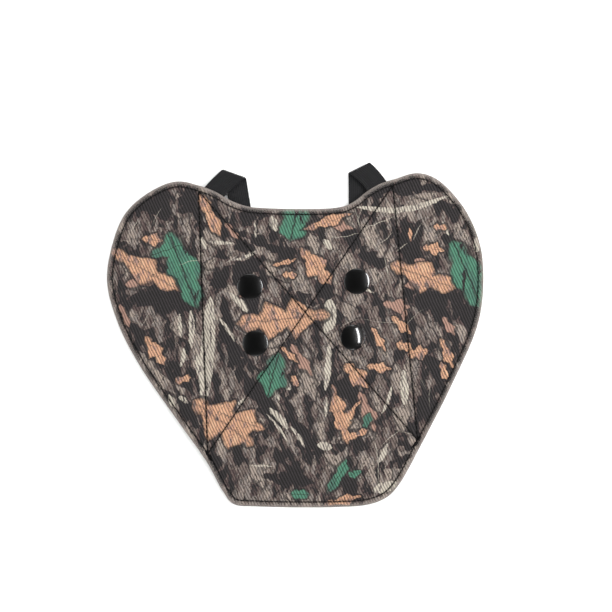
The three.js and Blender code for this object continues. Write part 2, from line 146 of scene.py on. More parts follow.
def straight(a, b, step):
    """Even points from a to b, the same ones whichever end comes first."""
    if a[1] > b[1]:
        return straight(b, a, step)[::-1]
    return spaced(np.array([a, b]), step)


OUTLINE = rounded(LEFT_EDGE[::-1] + RIGHT_EDGE)


def inward(line):
    """Unit normals of a closed line that runs clockwise, pointing in."""
    run = np.roll(line, -1, axis=0) - np.roll(line, 1, axis=0)
    normal = np.stack([run[:, 1], -run[:, 0]], axis=1)
    return normal / np.linalg.norm(normal, axis=1)[:, None]


STITCH_LOOP = OUTLINE + STITCH_INSET * inward(OUTLINE)


def fold_x(side, y):
    """Where a fold line lies at a height on the pattern."""
    at, lean = FOLDS[side]
    return at + (lean if side == "left" else -lean) * y


def past_fold(side, points):
    """How far points lie from a fold line: above zero on the centre, below zero on that wing."""
    gap = points[:, 0] - fold_x(side, points[:, 1])
    return gap if side == "left" else -gap


def inside_folds(points):
    """How far points lie inside the centre pocket, from the nearer fold line."""
    return np.minimum(past_fold("left", points), past_fold("right", points))


POCKETS = {
    "centre": inside_folds,
    "left_wing": lambda points: -past_fold("left", points),
    "right_wing": lambda points: -past_fold("right", points),
}


def distance_to(points, line, closed=False):
    """Distance from each point to the nearest stretch of a line."""
    a = line if closed else line[:-1]
    b = np.roll(line, -1, axis=0) if closed else line[1:]
    run = b - a
    square = (run**2).sum(1)
    best = np.full(len(points), np.inf)
    for start in range(0, len(points), 2000):
        part = points[start : start + 2000, None]
        t = np.clip(((part - a) * run).sum(2) / square, 0, 1)
        best[start : start + 2000] = np.linalg.norm(part - a - t[..., None] * run, axis=2).min(1)
    return best


def stretches(loop, inside):
    """The stretches of a closed line where inside(points) is above zero, each ending on the limit."""
    value = inside(loop)
    count = len(loop)
    first = next(i for i in range(count) if value[i] <= 0 < value[(i + 1) % count])
    found = []
    for k in range(count):
        i, j = (first + k) % count, (first + k + 1) % count
        if (value[i] > 0) != (value[j] > 0):
            limit = loop[i] + (loop[j] - loop[i]) * value[i] / (value[i] - value[j])
            if value[j] > 0:
                found.append([limit])
            else:
                found[-1].append(limit)
        if value[j] > 0:
            found[-1].append(loop[j])
    return [np.array(run) for run in found]


def fold_ends(side):
    """Where a fold line meets the edge stitching, at its foot and at its head."""
    ends = [run[k] for run in stretches(STITCH_LOOP, POCKETS[side + "_wing"]) for k in (0, -1)]
    return sorted(ends, key=lambda p: p[1])


FOLD_ENDS = {side: fold_ends(side) for side in SIDES}
DIAGONALS = [
    np.array([FOLD_ENDS["left"][1], FOLD_ENDS["right"][0]]),
    np.array([FOLD_ENDS["right"][1], FOLD_ENDS["left"][0]]),
]
WING_REACH = {side: -past_fold(side, OUTLINE).min() for side in SIDES}
HEM_Y = OUTLINE[:, 1].min()
NECK_Y = 72.7
FOLD_FOOT_Y = -74.3


def lift(points):
    """Height of the lining's back above the surface, with soft bends where the slopes change."""
    total = np.zeros(len(points))
    reach = np.linspace(-4, 4, 5)
    for dx in reach:
        for dy in reach:
            x, y = points[:, 0] + dx, points[:, 1] + dy
            inside = inside_folds(np.stack([x, y], axis=1))
            wing = np.where(x < 0, WING_REACH["left"], WING_REACH["right"])
            rise = np.clip((y - HEM_Y) / (FLAT_LOW - HEM_Y), 0, 1)
            fall = np.clip((y - FLAT_HIGH) / (NECK_Y - FLAT_HIGH), 0, 1)
            side = FOLD_LIFT * np.clip((y - HEM_Y) / (FOLD_FOOT_Y - HEM_Y), 0, 1)
            ridge = np.where(y < FLAT_LOW, SNAP_LIFT * rise, SNAP_LIFT + (FOLD_LIFT - SNAP_LIFT) * fall)
            level = side + (ridge - side) * np.clip(inside / RAMP, 0, 1)
            total += np.where(inside < 0, np.maximum(0, FOLD_LIFT * (1 + inside / wing)), level)
    return total / len(reach) ** 2


def placed(points, z):
    """Pattern points at height z in millimetres, as frame coordinates in metres."""
    return np.column_stack([points + OFFSET, np.broadcast_to(z, len(points))]) * MM


def snap_centre(spot):
    """The middle of a snap cap of the frame, in millimetres."""
    low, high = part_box("snap_cap_" + spot)
    return np.array([(low[k] + high[k]) / 2 / MM for k in range(2)])


OFFSET = snap_centre("upper_left") - np.array(SNAPS["upper_left"])

# ------------------------------------------------------------------ sizes and colours to change


def length(name, description, default, low=0.0):
    """A length given in millimetres and kept in metres."""
    return FloatProperty(
        name=name, description=description, default=default * MM, min=low * MM, unit="LENGTH", precision=5
    )


def colour(name, description, red, green, blue):
    """A colour given as the eye reads it, 0 to 255, and kept as light."""
    light = [((c / 255 + 0.055) / 1.055) ** 2.4 if c > 10 else c / 255 / 12.92 for c in (red, green, blue)]
    return FloatVectorProperty(
        name=name, description=description, default=light, size=3, min=0, max=1, subtype="COLOR"
    )


class MaskSizes(bpy.types.PropertyGroup):
    grid: length("Cloth grid", "Spacing of the points of a cloth surface", 1.35, 0.8)
    cloth: length("Cloth", "Thickness of the printed cloth", 0.5, 0.1)
    lining: length("Lining", "Thickness of the lining", 0.45, 0.1)
    puff: length("Puff", "How far the filling may swell a pocket", 0.75)
    pressure: FloatProperty(name="Filling", description="Pressure of the filling", default=5.0, min=0)
    thread: length("Thread", "Radius of the sewing thread", 0.33, 0.05)
    stitch: length("Stitch", "Length of one stitch", 2.9, 1)
    rib: length("Twill rib", "Distance between the ribs of the twill", 1.63, 0.3)
    dome: length("Cap dome", "Radius of the curve of a snap cap's top", 19, 8)
    lean: FloatProperty(
        name="Lean", description="How far the lower right cap leans to the right", default=math.radians(13.5),
        subtype="ANGLE",
    )
    elastic_ribs: IntProperty(name="Elastic ribs", description="Ribs across the elastic", default=11, min=3)


class MaskColours(bpy.types.PropertyGroup):
    shade: colour("Shade", "Darkest ground of the print", 36, 32, 34)
    umber: colour("Umber", "Dark brown ground of the print", 84, 68, 66)
    bark: colour("Bark", "Middle ground of the print", 112, 98, 92)
    ash: colour("Ash", "Grey ground of the print", 134, 124, 118)
    taupe: colour("Taupe", "Light ground of the print", 160, 146, 135)
    cream: colour("Cream", "Bare wood and pale bark", 196, 187, 172)
    rust: colour("Rust", "Fallen leaves", 208, 160, 128)
    sand: colour("Sand", "Dry parts of fallen leaves", 218, 174, 141)
    blush: colour("Blush", "Faded leaves", 176, 138, 122)
    green: colour("Green", "Fresh leaves", 76, 130, 106)
    deep_green: colour("Deep green", "Shaded leaves", 70, 112, 96)
    # Colour of rubbed fibres along the edge, also used for painted light on the side of the rolled edge
    worn_and_lit_edge: colour("Worn edge", "Rubbed fibres along the sewn edge", 136, 128, 122)
    lining: colour("Lining", "Plain twill behind the panel", 58, 52, 48)
    wadding: colour("Wadding", "Cotton filling", 222, 216, 202)
    thread: colour("Thread", "Sewing thread", 9, 8, 9)
    elastic: colour("Elastic", "Ribbed tape", 13, 13, 15)
    resin: colour("Resin", "Moulded snaps", 3, 3, 3)
    floor: colour("Floor", "The surface that the mask lies on", 250, 250, 249)


def sizes():
    return bpy.context.scene.mask_sizes


def colours():
    return bpy.context.scene.mask_colours


# ------------------------------------------------------------------ node building


class Tree:
    """Adds nodes to a node tree, each with its inputs given as numbers or as other nodes' outputs."""

    def __init__(self, tree):
        self.nodes, self.links = tree.nodes, tree.links

    def put(self, socket, value):
        if isinstance(value, bpy.types.NodeSocket):
            self.links.new(value, socket)
        elif socket.type == "RGBA":
            socket.default_value = (*tuple(value)[:3], 1)
        else:
            socket.default_value = value

    def add(self, kind, inputs=None, **settings):
        node = self.nodes.new("ShaderNode" + kind)
        for name, value in settings.items():
            setattr(node, name, value)
        for name, value in (inputs or {}).items():
            self.put(node.inputs[name], value)
        return node

    def math(self, operation, *values):
        node = self.add("Math", operation=operation)
        for socket, value in zip(node.inputs, values):
            self.put(socket, value)
        return node.outputs[0]

    def clamp(self, value):
        """The value kept from zero to one."""
        return self.add("Clamp", {"Value": value}).outputs[0]

    def vector(self, operation, *values):
        node = self.add("VectorMath", operation=operation)
        for socket, value in zip(node.inputs, values):
            self.put(socket, value)
        return node.outputs["Value" if operation in ("DOT_PRODUCT", "LENGTH") else "Vector"]

    def mix(self, share, a, b):
        node = self.add("Mix", data_type="RGBA")
        for name, value in (("Factor_Float", share), ("A_Color", a), ("B_Color", b)):
            self.put(next(s for s in node.inputs if s.identifier == name), value)
        return next(s for s in node.outputs if s.identifier == "Result_Color")

    def scale(self, vector_value, share):
        node = self.add("VectorMath", operation="SCALE")
        self.put(node.inputs[0], vector_value)
        self.put(node.inputs["Scale"], share)
        return node.outputs["Vector"]

    def ramp(self, value, low, high):
        """Zero at low and below, one at high and above, smooth between."""
        limits = {"Value": value, "From Min": low, "From Max": high}
        return self.add("MapRange", limits, interpolation_type="SMOOTHSTEP").outputs["Result"]

    def noise(self, place, scale, detail=2.0, roughness=0.5):
        given = {"Vector": place, "Scale": scale, "Detail": detail, "Roughness": roughness}
        return self.add("TexNoise", given)

    def turned(self, place, degrees, stretch=(1, 1, 1)):
        """Coordinates turned by an angle and then scaled."""
        laid = {"Vector": place, "Rotation": (0, 0, math.radians(degrees)), "Scale": stretch}
        return self.add("Mapping", laid, vector_type="POINT").outputs["Vector"]


def shared_group(name, inputs, outputs):
    """Builds a node group once: the decorated function wires it, and later calls reuse it."""

    def decorate(wire):
        def get():
            found = bpy.data.node_groups.get(name)
            if found:
                return found
            group = bpy.data.node_groups.new(name, "ShaderNodeTree")
            for label, (kind, default) in inputs.items():
                socket = group.interface.new_socket(label, in_out="INPUT", socket_type="NodeSocket" + kind)
                socket.default_value = default
            for label, kind in outputs.items():
                group.interface.new_socket(label, in_out="OUTPUT", socket_type="NodeSocket" + kind)
            tree = Tree(group)
            given = group.nodes.new("NodeGroupInput").outputs
            results = wire(tree, given)
            end = group.nodes.new("NodeGroupOutput").inputs
            for label, value in results.items():
                tree.put(end[label], value)
            return group

        return get

    return decorate


def use(tree, group, **inputs):
    """Adds a shared group and returns its outputs; an underscore in a name stands for a space."""
    node = tree.nodes.new("ShaderNodeGroup")
    node.node_tree = group
    for name, value in inputs.items():
        tree.put(node.inputs[name.replace("_", " ")], value)
    return node.outputs


VECTOR = ("Vector", (0, 0, 0))


@shared_group(
    "Twill Weave",
    {"Place": VECTOR, "Pitch": ("Float", 1.1), "Lean": ("Float", 0.4)},
    {"Height": "Float", "Rib": "Float", "Yarn": "Float"},
)
def twill_weave(tree, given):
    """Raised diagonal ribs that wander a little, each a row of slightly different yarns."""
    leaning = {"Vector": given["Place"], "Angle": given["Lean"]}
    turn = tree.add("VectorRotate", leaning, rotation_type="Z_AXIS")
    wobble = tree.noise(given["Place"], 0.12, 1.0)
    axes = tree.add("SeparateXYZ", {"Vector": turn.outputs[0]})
    across = tree.math("DIVIDE", axes.outputs["X"], given["Pitch"])
    across = tree.math("MULTIPLY_ADD", wobble.outputs["Fac"], 0.6, across)
    along = tree.math("DIVIDE", axes.outputs["Y"], given["Pitch"])
    rib = tree.math("ABSOLUTE", tree.math("SINE", tree.math("MULTIPLY", across, math.pi)))
    step = tree.math("FLOOR", across)
    stagger = tree.math("MULTIPLY_ADD", step, 0.37, along)
    floats = tree.math("SINE", tree.math("MULTIPLY", stagger, 2 * math.pi))
    height = tree.math("MULTIPLY", rib, tree.math("MULTIPLY_ADD", floats, 0.06, 0.94))
    row, length_on = tree.math("MULTIPLY", step, 3.7), tree.math("MULTIPLY", along, 0.16)
    strand = tree.add("CombineXYZ", {"X": row, "Y": length_on})
    yarn = tree.noise(strand.outputs[0], 1.0, 1.0)
    return {"Height": height, "Rib": rib, "Yarn": yarn.outputs["Fac"]}


@shared_group(
    "Fibre Fuzz", {"Place": VECTOR, "Scale": ("Float", 3.0)}, {"Height": "Float", "Shade": "Float"}
)
def fibre_fuzz(tree, given):
    """Loose surface fibres, fine and slightly clumped."""
    fine = tree.noise(given["Place"], given["Scale"], 3.0, 0.65)
    clump = tree.noise(given["Place"], 0.35, 2.0)
    clumped = tree.math("MULTIPLY", clump.outputs["Fac"], 0.3)
    shade = tree.math("MULTIPLY_ADD", fine.outputs["Fac"], 0.7, clumped)
    return {"Height": fine.outputs["Fac"], "Shade": shade}


@shared_group(
    "Edge Wear",
    {"Place": VECTOR, "Distance": ("Float", 10.0), "Width": ("Float", 1.5)},
    {"Mask": "Float"},
)
def edge_wear(tree, given):
    """Rubbed, fuzzy specks along an edge."""
    near = tree.clamp(tree.math("SUBTRACT", 1.0, tree.math("DIVIDE", given["Distance"], given["Width"])))
    specks = tree.noise(given["Place"], 2.6, 2.0, 0.6)
    return {"Mask": tree.ramp(tree.math("MULTIPLY_ADD", near, 0.34, specks.outputs["Fac"]), 0.64, 0.8)}


@shared_group(
    "Lobed Leaf",
    {
        "Place": VECTOR, "Along": VECTOR, "Across": VECTOR, "Lobes": ("Float", 3.0), "Depth": ("Float", 0.55),
        "Slant": ("Float", -0.8), "Outline": ("Float", 0.1), "So Far": ("Float", 0.0),
        "Veins So Far": ("Float", 0.0), "Outlines So Far": ("Float", 0.0),
    },
    {"Mask": "Float", "Vein": "Float", "Outline": "Float"},
)
def lobed_leaf(tree, given):
    """A leaf with forward-pointing lobes, laid over the ones so far: Along runs 0 to 1 from base to tip."""
    ahead = tree.vector("DOT_PRODUCT", given["Place"], given["Along"])
    along = tree.clamp(ahead)
    past = tree.math("ABSOLUTE", tree.math("SUBTRACT", ahead, along))
    aside = tree.math("ABSOLUTE", tree.vector("DOT_PRODUCT", given["Place"], given["Across"]))
    aside = tree.math("MULTIPLY_ADD", past, 2.0, aside)
    phase = tree.math("MULTIPLY_ADD", along, given["Lobes"], tree.math("MULTIPLY", aside, given["Slant"]))
    lobe = tree.math("MULTIPLY", tree.math("PINGPONG", phase, 0.5), given["Depth"])
    bow = tree.math("POWER", tree.math("SINE", tree.math("MULTIPLY", along, math.pi)), 0.75)
    room = tree.math("SUBTRACT", tree.math("MULTIPLY", bow, tree.math("SUBTRACT", 0.5, lobe)), aside)
    mask = tree.clamp(tree.math("MULTIPLY", room, 12.0))
    rib = tree.math("MULTIPLY", tree.math("SUBTRACT", 0.034, aside), 30.0)
    vein = tree.math("MAXIMUM", tree.math("MULTIPLY", rib, mask), given["Veins So Far"])
    rim = tree.math("ADD", tree.math("DIVIDE", room, given["Outline"]), 1.0)
    outline = tree.math("MAXIMUM", rim, given["Outlines So Far"])
    return {"Mask": tree.math("MAXIMUM", mask, given["So Far"]), "Vein": vein, "Outline": outline}


@shared_group(
    "Torn Strip",
    {
        "Place": VECTOR, "Along": VECTOR, "Across": VECTOR, "Width": ("Float", 1.0), "Bend": ("Float", 0.0),
        "So Far": ("Float", 0.0),
    },
    {"Mask": "Float"},
)
def torn_strip(tree, given):
    """A tapered, bent strip over the ones so far: a twig, a branch or a tear of bare wood."""
    along = tree.clamp(tree.vector("DOT_PRODUCT", given["Place"], given["Along"]))
    bow = tree.math("SINE", tree.math("MULTIPLY", along, math.pi))
    across = tree.vector("DOT_PRODUCT", given["Place"], given["Across"])
    aside = tree.math("ABSOLUTE", tree.math("SUBTRACT", across, tree.math("MULTIPLY", bow, given["Bend"])))
    half = tree.math("MULTIPLY", tree.math("POWER", bow, 0.45), given["Width"])
    mask = tree.clamp(tree.math("MULTIPLY", tree.math("SUBTRACT", half, aside), 2.2))
    return {"Mask": tree.math("MAXIMUM", mask, given["So Far"])}


def directions(x, y, degrees, long, wide):
    """Along and Across for a motif, to be multiplied by a place given as (x, y, 1)."""
    c, s = math.cos(math.radians(degrees)), math.sin(math.radians(degrees))
    along = (c / long, s / long, -(x * c + y * s) / long)
    return along, (-s / wide, c / wide, (x * s - y * c) / wide)


# ------------------------------------------------------------------ the print
# Each motif: where its base lies on the pattern, its direction in degrees, its length and its width.
# A leaf of the first three tables ends with its number of lobes, a strip of the next two with its bend.

RUST_LEAVES = [
    (-113, 53, -33, 50, 19, 2.5), (-93, 58, -8, 13, 10, 2), (-57.5, 84, -66, 29, 12, 1.5),
    (-93, 0, -58, 22, 12, 2.5), (19, 9, 184, 58, 27, 3.5), (-15, 39, 14, 15, 4.5, 2),
    (-9, 33, 0, 8, 7, 1.5), (4, 60, 17, 31, 9, 2), (2, 49, -52, 29, 17, 2.5),
    (55, 38, -23, 43, 22, 2.5), (75, 47, -10, 13, 10, 2), (82, 59, -5, 9, 7, 1.5),
    (68, 59, -88, 9, 3, 1), (55, 6, -43, 16, 8, 2), (43, 0, -62, 16, 7, 2),
    (-66, -40, -38, 46, 32, 3), (-50, -48, -22, 29, 22, 2), (-76, -28, 10, 10, 8, 1.5),
    (-6, -27, -60, 8, 6, 1.5), (-12, -9, -46, 15, 5, 2), (18, -33, -77, 38, 13, 3.5),
    (23, -58, 52, 19, 6, 1), (26, -66, 20, 14, 7, 1.5), (24, -54, 138, 11, 6, 1),
    (26, -21, -48, 20, 15, 2), (39, -23, -8, 15, 9, 2), (57, -10, -20, 11, 9, 1.5),
    (64, -17, 8, 13, 12, 2), (84, -8, -68, 20, 8, 2), (84, -22, -76, 12, 7, 1.5),
    (10, -106, 12, 24, 8, 2), (34, 82, 8, 12, 4, 1),
]
BLUSH_LEAVES = [
    (-104, 31, 6, 20, 9, 1.5), (-43, 66, -52, 14, 6, 1.5), (50, 14, -10, 17, 11, 2),
    (64, 24, 8, 20, 10, 1.5), (-36, 22, 12, 16, 7, 2), (60, -1, 70, 12, 6, 1.5),
    (34, -38, -70, 26, 12, 2), (86, 5, -60, 14, 7, 2), (-6, -8, -58, 24, 9, 2),
    (15, 66, -20, 20, 9, 2), (-108, 20, -70, 16, 7, 1.5), (70, 40, -30, 14, 7, 1),
]
GREEN_LEAVES = [
    (-77, 62, -71, 50, 26, 2.5), (-88, 48, 15, 20, 12, 2), (2, 77, -104, 25, 25, 1.5),
    (93, 51, -68, 46, 27, 2.5), (-13, -13, -106, 28, 22, 2), (28, -77, -125, 27, 9, 1.5),
    (-9, -99, 0, 11, 9, 1.5), (26, -88, 10, 8, 6, 1), (40, -51, -110, 10, 7, 1),
]
BARE_WOOD = [
    (-53, 22, -96, 66, 9, 0.6), (-65, 14, -92, 22, 4, 0.5), (-72, 12, -88, 14, 2.6, 0),
    (-62, -12, -80, 20, 4, -1), (-41, 24, -52, 16, 3.4, 0), (-35, 20, -60, 9, 2.4, 0),
    (-48, 9, -58, 17, 2.4, 0.5), (-15, 69, -72, 10, 5, 0), (-25, 67, -88, 11, 1.6, 0.4),
    (-38, 43, 22, 15, 2.2, -1), (-53, 55, -8, 15, 2.6, 0), (-57, 58, -75, 8, 3, 0),
    (36, 73, 5, 57, 3.8, -5.5), (18.5, 18, -91, 19, 8, 0), (16, 54, -55, 8, 4, 0),
    (37, 25, -30, 9, 1.8, 0), (61, -26, -90, 21, 5.5, 0.6), (54, -35, -112, 18, 2.4, 0.8),
    (17, -10, -97, 27, 4.4, 0.6), (15, -4, 80, 9, 3.6, 0), (14, -40, -93, 13, 2.2, 0.4),
    (8, -69, -15, 9, 5.5, 0), (-8, -57, -58, 16, 2.6, 0.6), (-20, -46, -50, 17, 4.4, 0.6),
    (-22, -49, -55, 24, 1.8, 0.6), (-19, -30, -66, 13, 3, 0), (-12, -27, -60, 10, 4, 0),
    (40, -98, 14, 16, 7, 0), (50, -70, -118, 13, 3.4, 0.5), (-80, -36, -70, 8, 4, 0),
    (-74, -37, -40, 7, 3, 0), (-40, -44, 35, 7, 2.2, 0), (88, 62, -70, 9, 2.4, 0),
    (90, 30, -88, 9, 2.6, 0), (7, 41, -70, 12, 2.2, 0.5), (60, -92, 40, 9, 3, 0),
    (-70, -8, -100, 12, 3, 0.5), (108, 52, -90, 9, 4, 0),
]
TWIGS = [
    (34, 75, -76, 18, 1.0, 0.6), (38, 59, -49, 22, 0.95, 0.3), (52, 43, -80, 18, 1.0, -0.4),
    (16, 56, 3, 22, 0.85, -1.4), (38, 59, 19, 23, 0.95, -0.5), (48, 50, 36, 12, 0.8, -1),
    (41, 75, -112, 14, 0.7, 0), (59, 45, 34, 9, 1.0, 0), (24, 0, 26, 13, 0.7, 1),
    (36, 6, -8, 24, 0.6, -1.2), (70, 51, 64, 12, 0.9, 0.6), (42, -64, -87, 32, 0.9, 0.8),
    (46, -71, 36, 15, 0.9, 0.6), (59, -63, -20, 8, 0.7, 0), (-33, -80, -5, 15, 1.4, 0),
    (-27, -82, -82, 14, 0.6, 0), (-72, 41, 8, 16, 0.7, 1.6), (-95, 5, 58, 12, 0.7, 0),
    (-100, 62, 52, 9, 0.9, 0), (62, -1, 40, 17, 0.6, 0.8), (68, -28, -60, 14, 0.6, 0.8),
    (78, -32, -95, 18, 0.6, -0.8), (-86, 66, 60, 12, 0.7, 0.6), (-44, 41, 30, 10, 0.8, 0),
]
DARK_GROUND = [
    (-106, 80, -4, 52, 20), (-106, 58, -62, 26, 13), (-102, 24, -8, 42, 20), (-104, 8, -40, 26, 12),
    (-54, 28, 24, 36, 16), (-46, 24, -82, 46, 14), (-42, -2, -64, 62, 18), (-38, 62, -28, 34, 9),
    (-40, 52, -10, 16, 9), (-10, 56, -70, 20, 12), (14, 36, -76, 26, 12), (36, 44, -20, 20, 13),
    (66, 68, -86, 40, 14), (62, 22, -24, 54, 26), (28, -24, -82, 34, 9), (72, -18, -36, 32, 18),
    (74, -36, -78, 32, 10), (54, -62, -50, 16, 9), (-8, -42, -74, 44, 12), (-18, -70, -68, 36, 14),
    (2, -76, 16, 28, 9), (28, 78, 10, 40, 9), (44, 84, -2, 48, 11), (88, 74, -50, 22, 8),
    (-2, 24, -40, 16, 9), (-30, -30, -60, 34, 11), (-28, -86, -10, 34, 12), (20, -84, -60, 24, 10),
    (-78, -30, -60, 32, 10), (88, -2, -58, 46, 12), (48, -84, 20, 18, 8), (96, 36, -80, 30, 8),
    (-58, 72, -88, 16, 8),
]
PALE_GROUND = [
    (-70, 86, -84, 36, 12), (-56, 64, -40, 34, 16), (-58, 40, 8, 32, 10), (-24, 40, -20, 26, 13),
    (8, 58, -80, 24, 10), (40, 68, -70, 30, 18), (70, 80, -8, 42, 12), (92, 14, -76, 42, 13),
    (56, -22, -84, 44, 14), (34, -42, -80, 30, 12), (6, -44, -70, 44, 16), (-54, -2, -76, 44, 11),
    (-36, -14, -60, 20, 10), (0, -6, -80, 40, 12), (-16, -78, -70, 30, 11), (50, -68, -96, 30, 12),
    (-100, -8, -50, 40, 10), (-84, 24, -60, 34, 12), (-20, -10, 30, 24, 9), (12, 20, -30, 30, 12),
    (68, 12, -60, 30, 9), (-74, 78, -60, 20, 9), (-36, -64, -70, 34, 12), (26, -62, -100, 30, 10),
]


def leaves(tree, place, table, depth=0.6):
    """A table of leaves as one mask, with the masks of their veins and of the shade round them."""
    so_far = {"Mask": 0.0, "Vein": 0.0, "Outline": 0.0}
    for *shape, lobes in table:
        along, across = directions(*shape)
        so_far = use(
            tree, lobed_leaf(), Place=place, Along=along, Across=across, Lobes=lobes, Depth=depth,
            Outline=2.2 / shape[-1], So_Far=so_far["Mask"], Veins_So_Far=so_far["Vein"],
            Outlines_So_Far=so_far["Outline"],
        )
    return so_far["Mask"], so_far["Vein"], so_far["Outline"]


def strips(tree, place, table):
    """A table of strips as one mask."""
    mask = 0.0
    for x, y, turn, long, wide, bend in table:
        along, across = directions(x, y, turn, long, 1)
        mask = use(
            tree, torn_strip(), Place=place, Along=along, Across=across, Width=wide / 2, Bend=bend,
            So_Far=mask,
        )["Mask"]
    return mask


def ragged(tree, place, scale, reach, detail=3.0):
    """Coordinates pushed about, which gives every outline drawn on them a torn edge."""
    push = tree.noise(place, scale, detail, 0.6)
    shift = tree.scale(tree.vector("SUBTRACT", push.outputs["Color"], (0.5, 0.5, 0.5)), reach)
    axes = tree.add("SeparateXYZ", {"Vector": tree.vector("ADD", place, shift)}).outputs
    return tree.add("CombineXYZ", {"X": axes["X"], "Y": axes["Y"], "Z": 1.0}).outputs[0]


def shards(tree, place, scale, degrees, stretch):
    """Angular patches that each have one random value, drawn out along a direction."""
    laid = tree.turned(place, degrees, (scale * stretch, scale / stretch, 1))
    cells = tree.add("TexVoronoi", {"Vector": laid, "Scale": 1.0, "Randomness": 1.0})
    return tree.add("SeparateXYZ", {"Vector": cells.outputs["Color"]}).outputs["X"]


def drawn_lines(tree, place, thin):
    """Fine broken pen lines that wander like the contours of a noise."""
    wander = tree.noise(place, 1.0, 2.0, 0.55)
    away = tree.math("ABSOLUTE", tree.math("SUBTRACT", wander.outputs["Fac"], 0.5))
    return tree.ramp(away, thin, 0.4 * thin)


def tones(tree, value, steps):
    """A value turned into flat tones: steps are (lowest value, colour)."""
    node = tree.add("ValToRGB", {"Fac": value})
    ramp = node.color_ramp
    ramp.interpolation = "CONSTANT"
    for k, (start, tint) in enumerate(steps):
        stop = ramp.elements[k] if k < 2 else ramp.elements.new(start)
        stop.position = start
        stop.color = (*tuple(tint)[:3], 1)
    return node.outputs["Color"]


def camouflage(tree, place):
    """The printed picture: leaf litter and shade, torn wood, leaves and twigs, one tone over another."""
    tone = colours()
    torn = ragged(tree, place, 0.12, 7.0, 2.0)
    crisp = ragged(tree, place, 0.26, 3.0, 2.0)
    dark, _, _ = leaves(tree, torn, [(*row, 2.5) for row in DARK_GROUND], 0.4)
    pale, _, pale_rim = leaves(tree, torn, [(*row, 1.5) for row in PALE_GROUND], 0.5)
    bias = tree.math("MULTIPLY_ADD", dark, -0.2, tree.math("MULTIPLY", pale, 0.13))
    coarse = tree.noise(tree.turned(torn, 20, (0.13, 0.055, 1)), 1.0, 1.0, 0.5)
    level = tree.math("MULTIPLY_ADD", coarse.outputs["Fac"], 0.75, bias)
    level = tree.math("MULTIPLY_ADD", shards(tree, torn, 0.12, 18, 1.5), 0.2, level)
    level = tree.math("MULTIPLY_ADD", shards(tree, torn, 0.24, -14, 1.7), 0.15, level)
    level = tree.math("SUBTRACT", level, 0.075)
    tint = tones(
        tree, level,
        [(0, tone.shade), (0.415, tone.umber), (0.465, tone.bark), (0.535, tone.ash), (0.6, tone.taupe)],
    )
    flecks = tree.noise(tree.turned(crisp, 22, (0.6, 0.17, 1)), 1.0, 2.0, 0.5)
    bright = tree.ramp(flecks.outputs["Fac"], 0.61, 0.63)
    slivers = tree.math("MULTIPLY", bright, tree.ramp(level, 0.38, 0.5))
    tint = tree.mix(tree.math("MULTIPLY", slivers, 0.6), tint, tone.taupe)
    pen = drawn_lines(tree, tree.turned(crisp, 24, (0.34, 0.12, 1)), 0.022)
    rim = tree.math("MULTIPLY", tree.ramp(pale_rim, 0.55, 0.8), tree.math("SUBTRACT", 1.0, pale))
    pen = tree.math("MAXIMUM", pen, rim)
    tint = tree.mix(tree.math("MULTIPLY", pen, 0.8), tint, tone.shade)
    cuts = tree.ramp(flecks.outputs["Fac"], 0.38, 0.36)
    tint = tree.mix(tree.math("MULTIPLY", cuts, 0.7), tint, tone.shade)

    blush, _, outline = leaves(tree, crisp, BLUSH_LEAVES)
    tint = tree.mix(tree.math("MULTIPLY", tree.ramp(outline, 0.2, 0.5), 0.7), tint, tone.shade)
    tint = tree.mix(tree.math("MULTIPLY", blush, 0.9), tint, tone.blush)
    wood = strips(tree, ragged(tree, place, 0.35, 2.4), BARE_WOOD)
    grain = tree.noise(tree.turned(crisp, 6, (0.8, 0.12, 1)), 1.0, 2.0, 0.5)
    bare = tones(tree, grain.outputs["Fac"], [(0, tone.shade), (0.34, tone.ash), (0.43, tone.cream)])
    tint = tree.mix(wood, tint, bare)
    green, vein, outline = leaves(tree, crisp, GREEN_LEAVES, 0.45)
    tint = tree.mix(tree.math("MULTIPLY", tree.ramp(outline, 0.3, 0.6), 0.75), tint, tone.shade)
    streak = tree.math("MULTIPLY", flecks.outputs["Fac"], 0.5)
    patch = tree.math("MULTIPLY_ADD", shards(tree, crisp, 0.16, 30, 1.5), 0.5, streak)
    leaf = tones(tree, patch, [(0, tone.shade), (0.3, tone.deep_green), (0.48, tone.green)])
    leaf = tree.mix(tree.clamp(vein), leaf, tone.shade)
    tint = tree.mix(green, tint, leaf)
    rust, vein, outline = leaves(tree, crisp, RUST_LEAVES)
    tint = tree.mix(tree.math("MULTIPLY", tree.ramp(outline, 0.2, 0.6), 0.8), tint, tone.shade)
    patch = tree.noise(tree.turned(crisp, 40, (0.22, 0.1, 1)), 1.0, 3.0, 0.6)
    dry = [(0, tone.bark), (0.36, tone.blush), (0.43, tone.rust), (0.6, tone.sand)]
    leaf = tones(tree, patch.outputs["Fac"], dry)
    creases = drawn_lines(tree, tree.turned(crisp, -30, (0.3, 0.16, 1)), 0.018)
    leaf = tree.mix(tree.math("MULTIPLY", creases, 0.7), leaf, tone.umber)
    leaf = tree.mix(tree.math("MULTIPLY", tree.clamp(vein), 0.6), leaf, tone.umber)
    tint = tree.mix(rust, tint, leaf)
    twigs = strips(tree, ragged(tree, place, 0.2, 2.0), TWIGS)
    return tree.mix(tree.math("MULTIPLY", twigs, 0.85), tint, tone.cream)


# ------------------------------------------------------------------ materials


def new_material(name, wire):
    """A material whose surface is one Principled shader; wire sets it up."""
    material = bpy.data.materials.new(name)
    material.use_nodes = True
    tree = Tree(material.node_tree)
    wire(tree, material.node_tree.nodes["Principled BSDF"])
    return material


def material(name):
    """The material of that name, made the first time it is asked for."""
    return bpy.data.materials.get(name) or new_material(name, FINISHES[name])


def attribute(tree, name, output="Vector"):
    """A value that the mesh stores at each of its points."""
    return tree.add("Attribute", attribute_name=name).outputs[output]


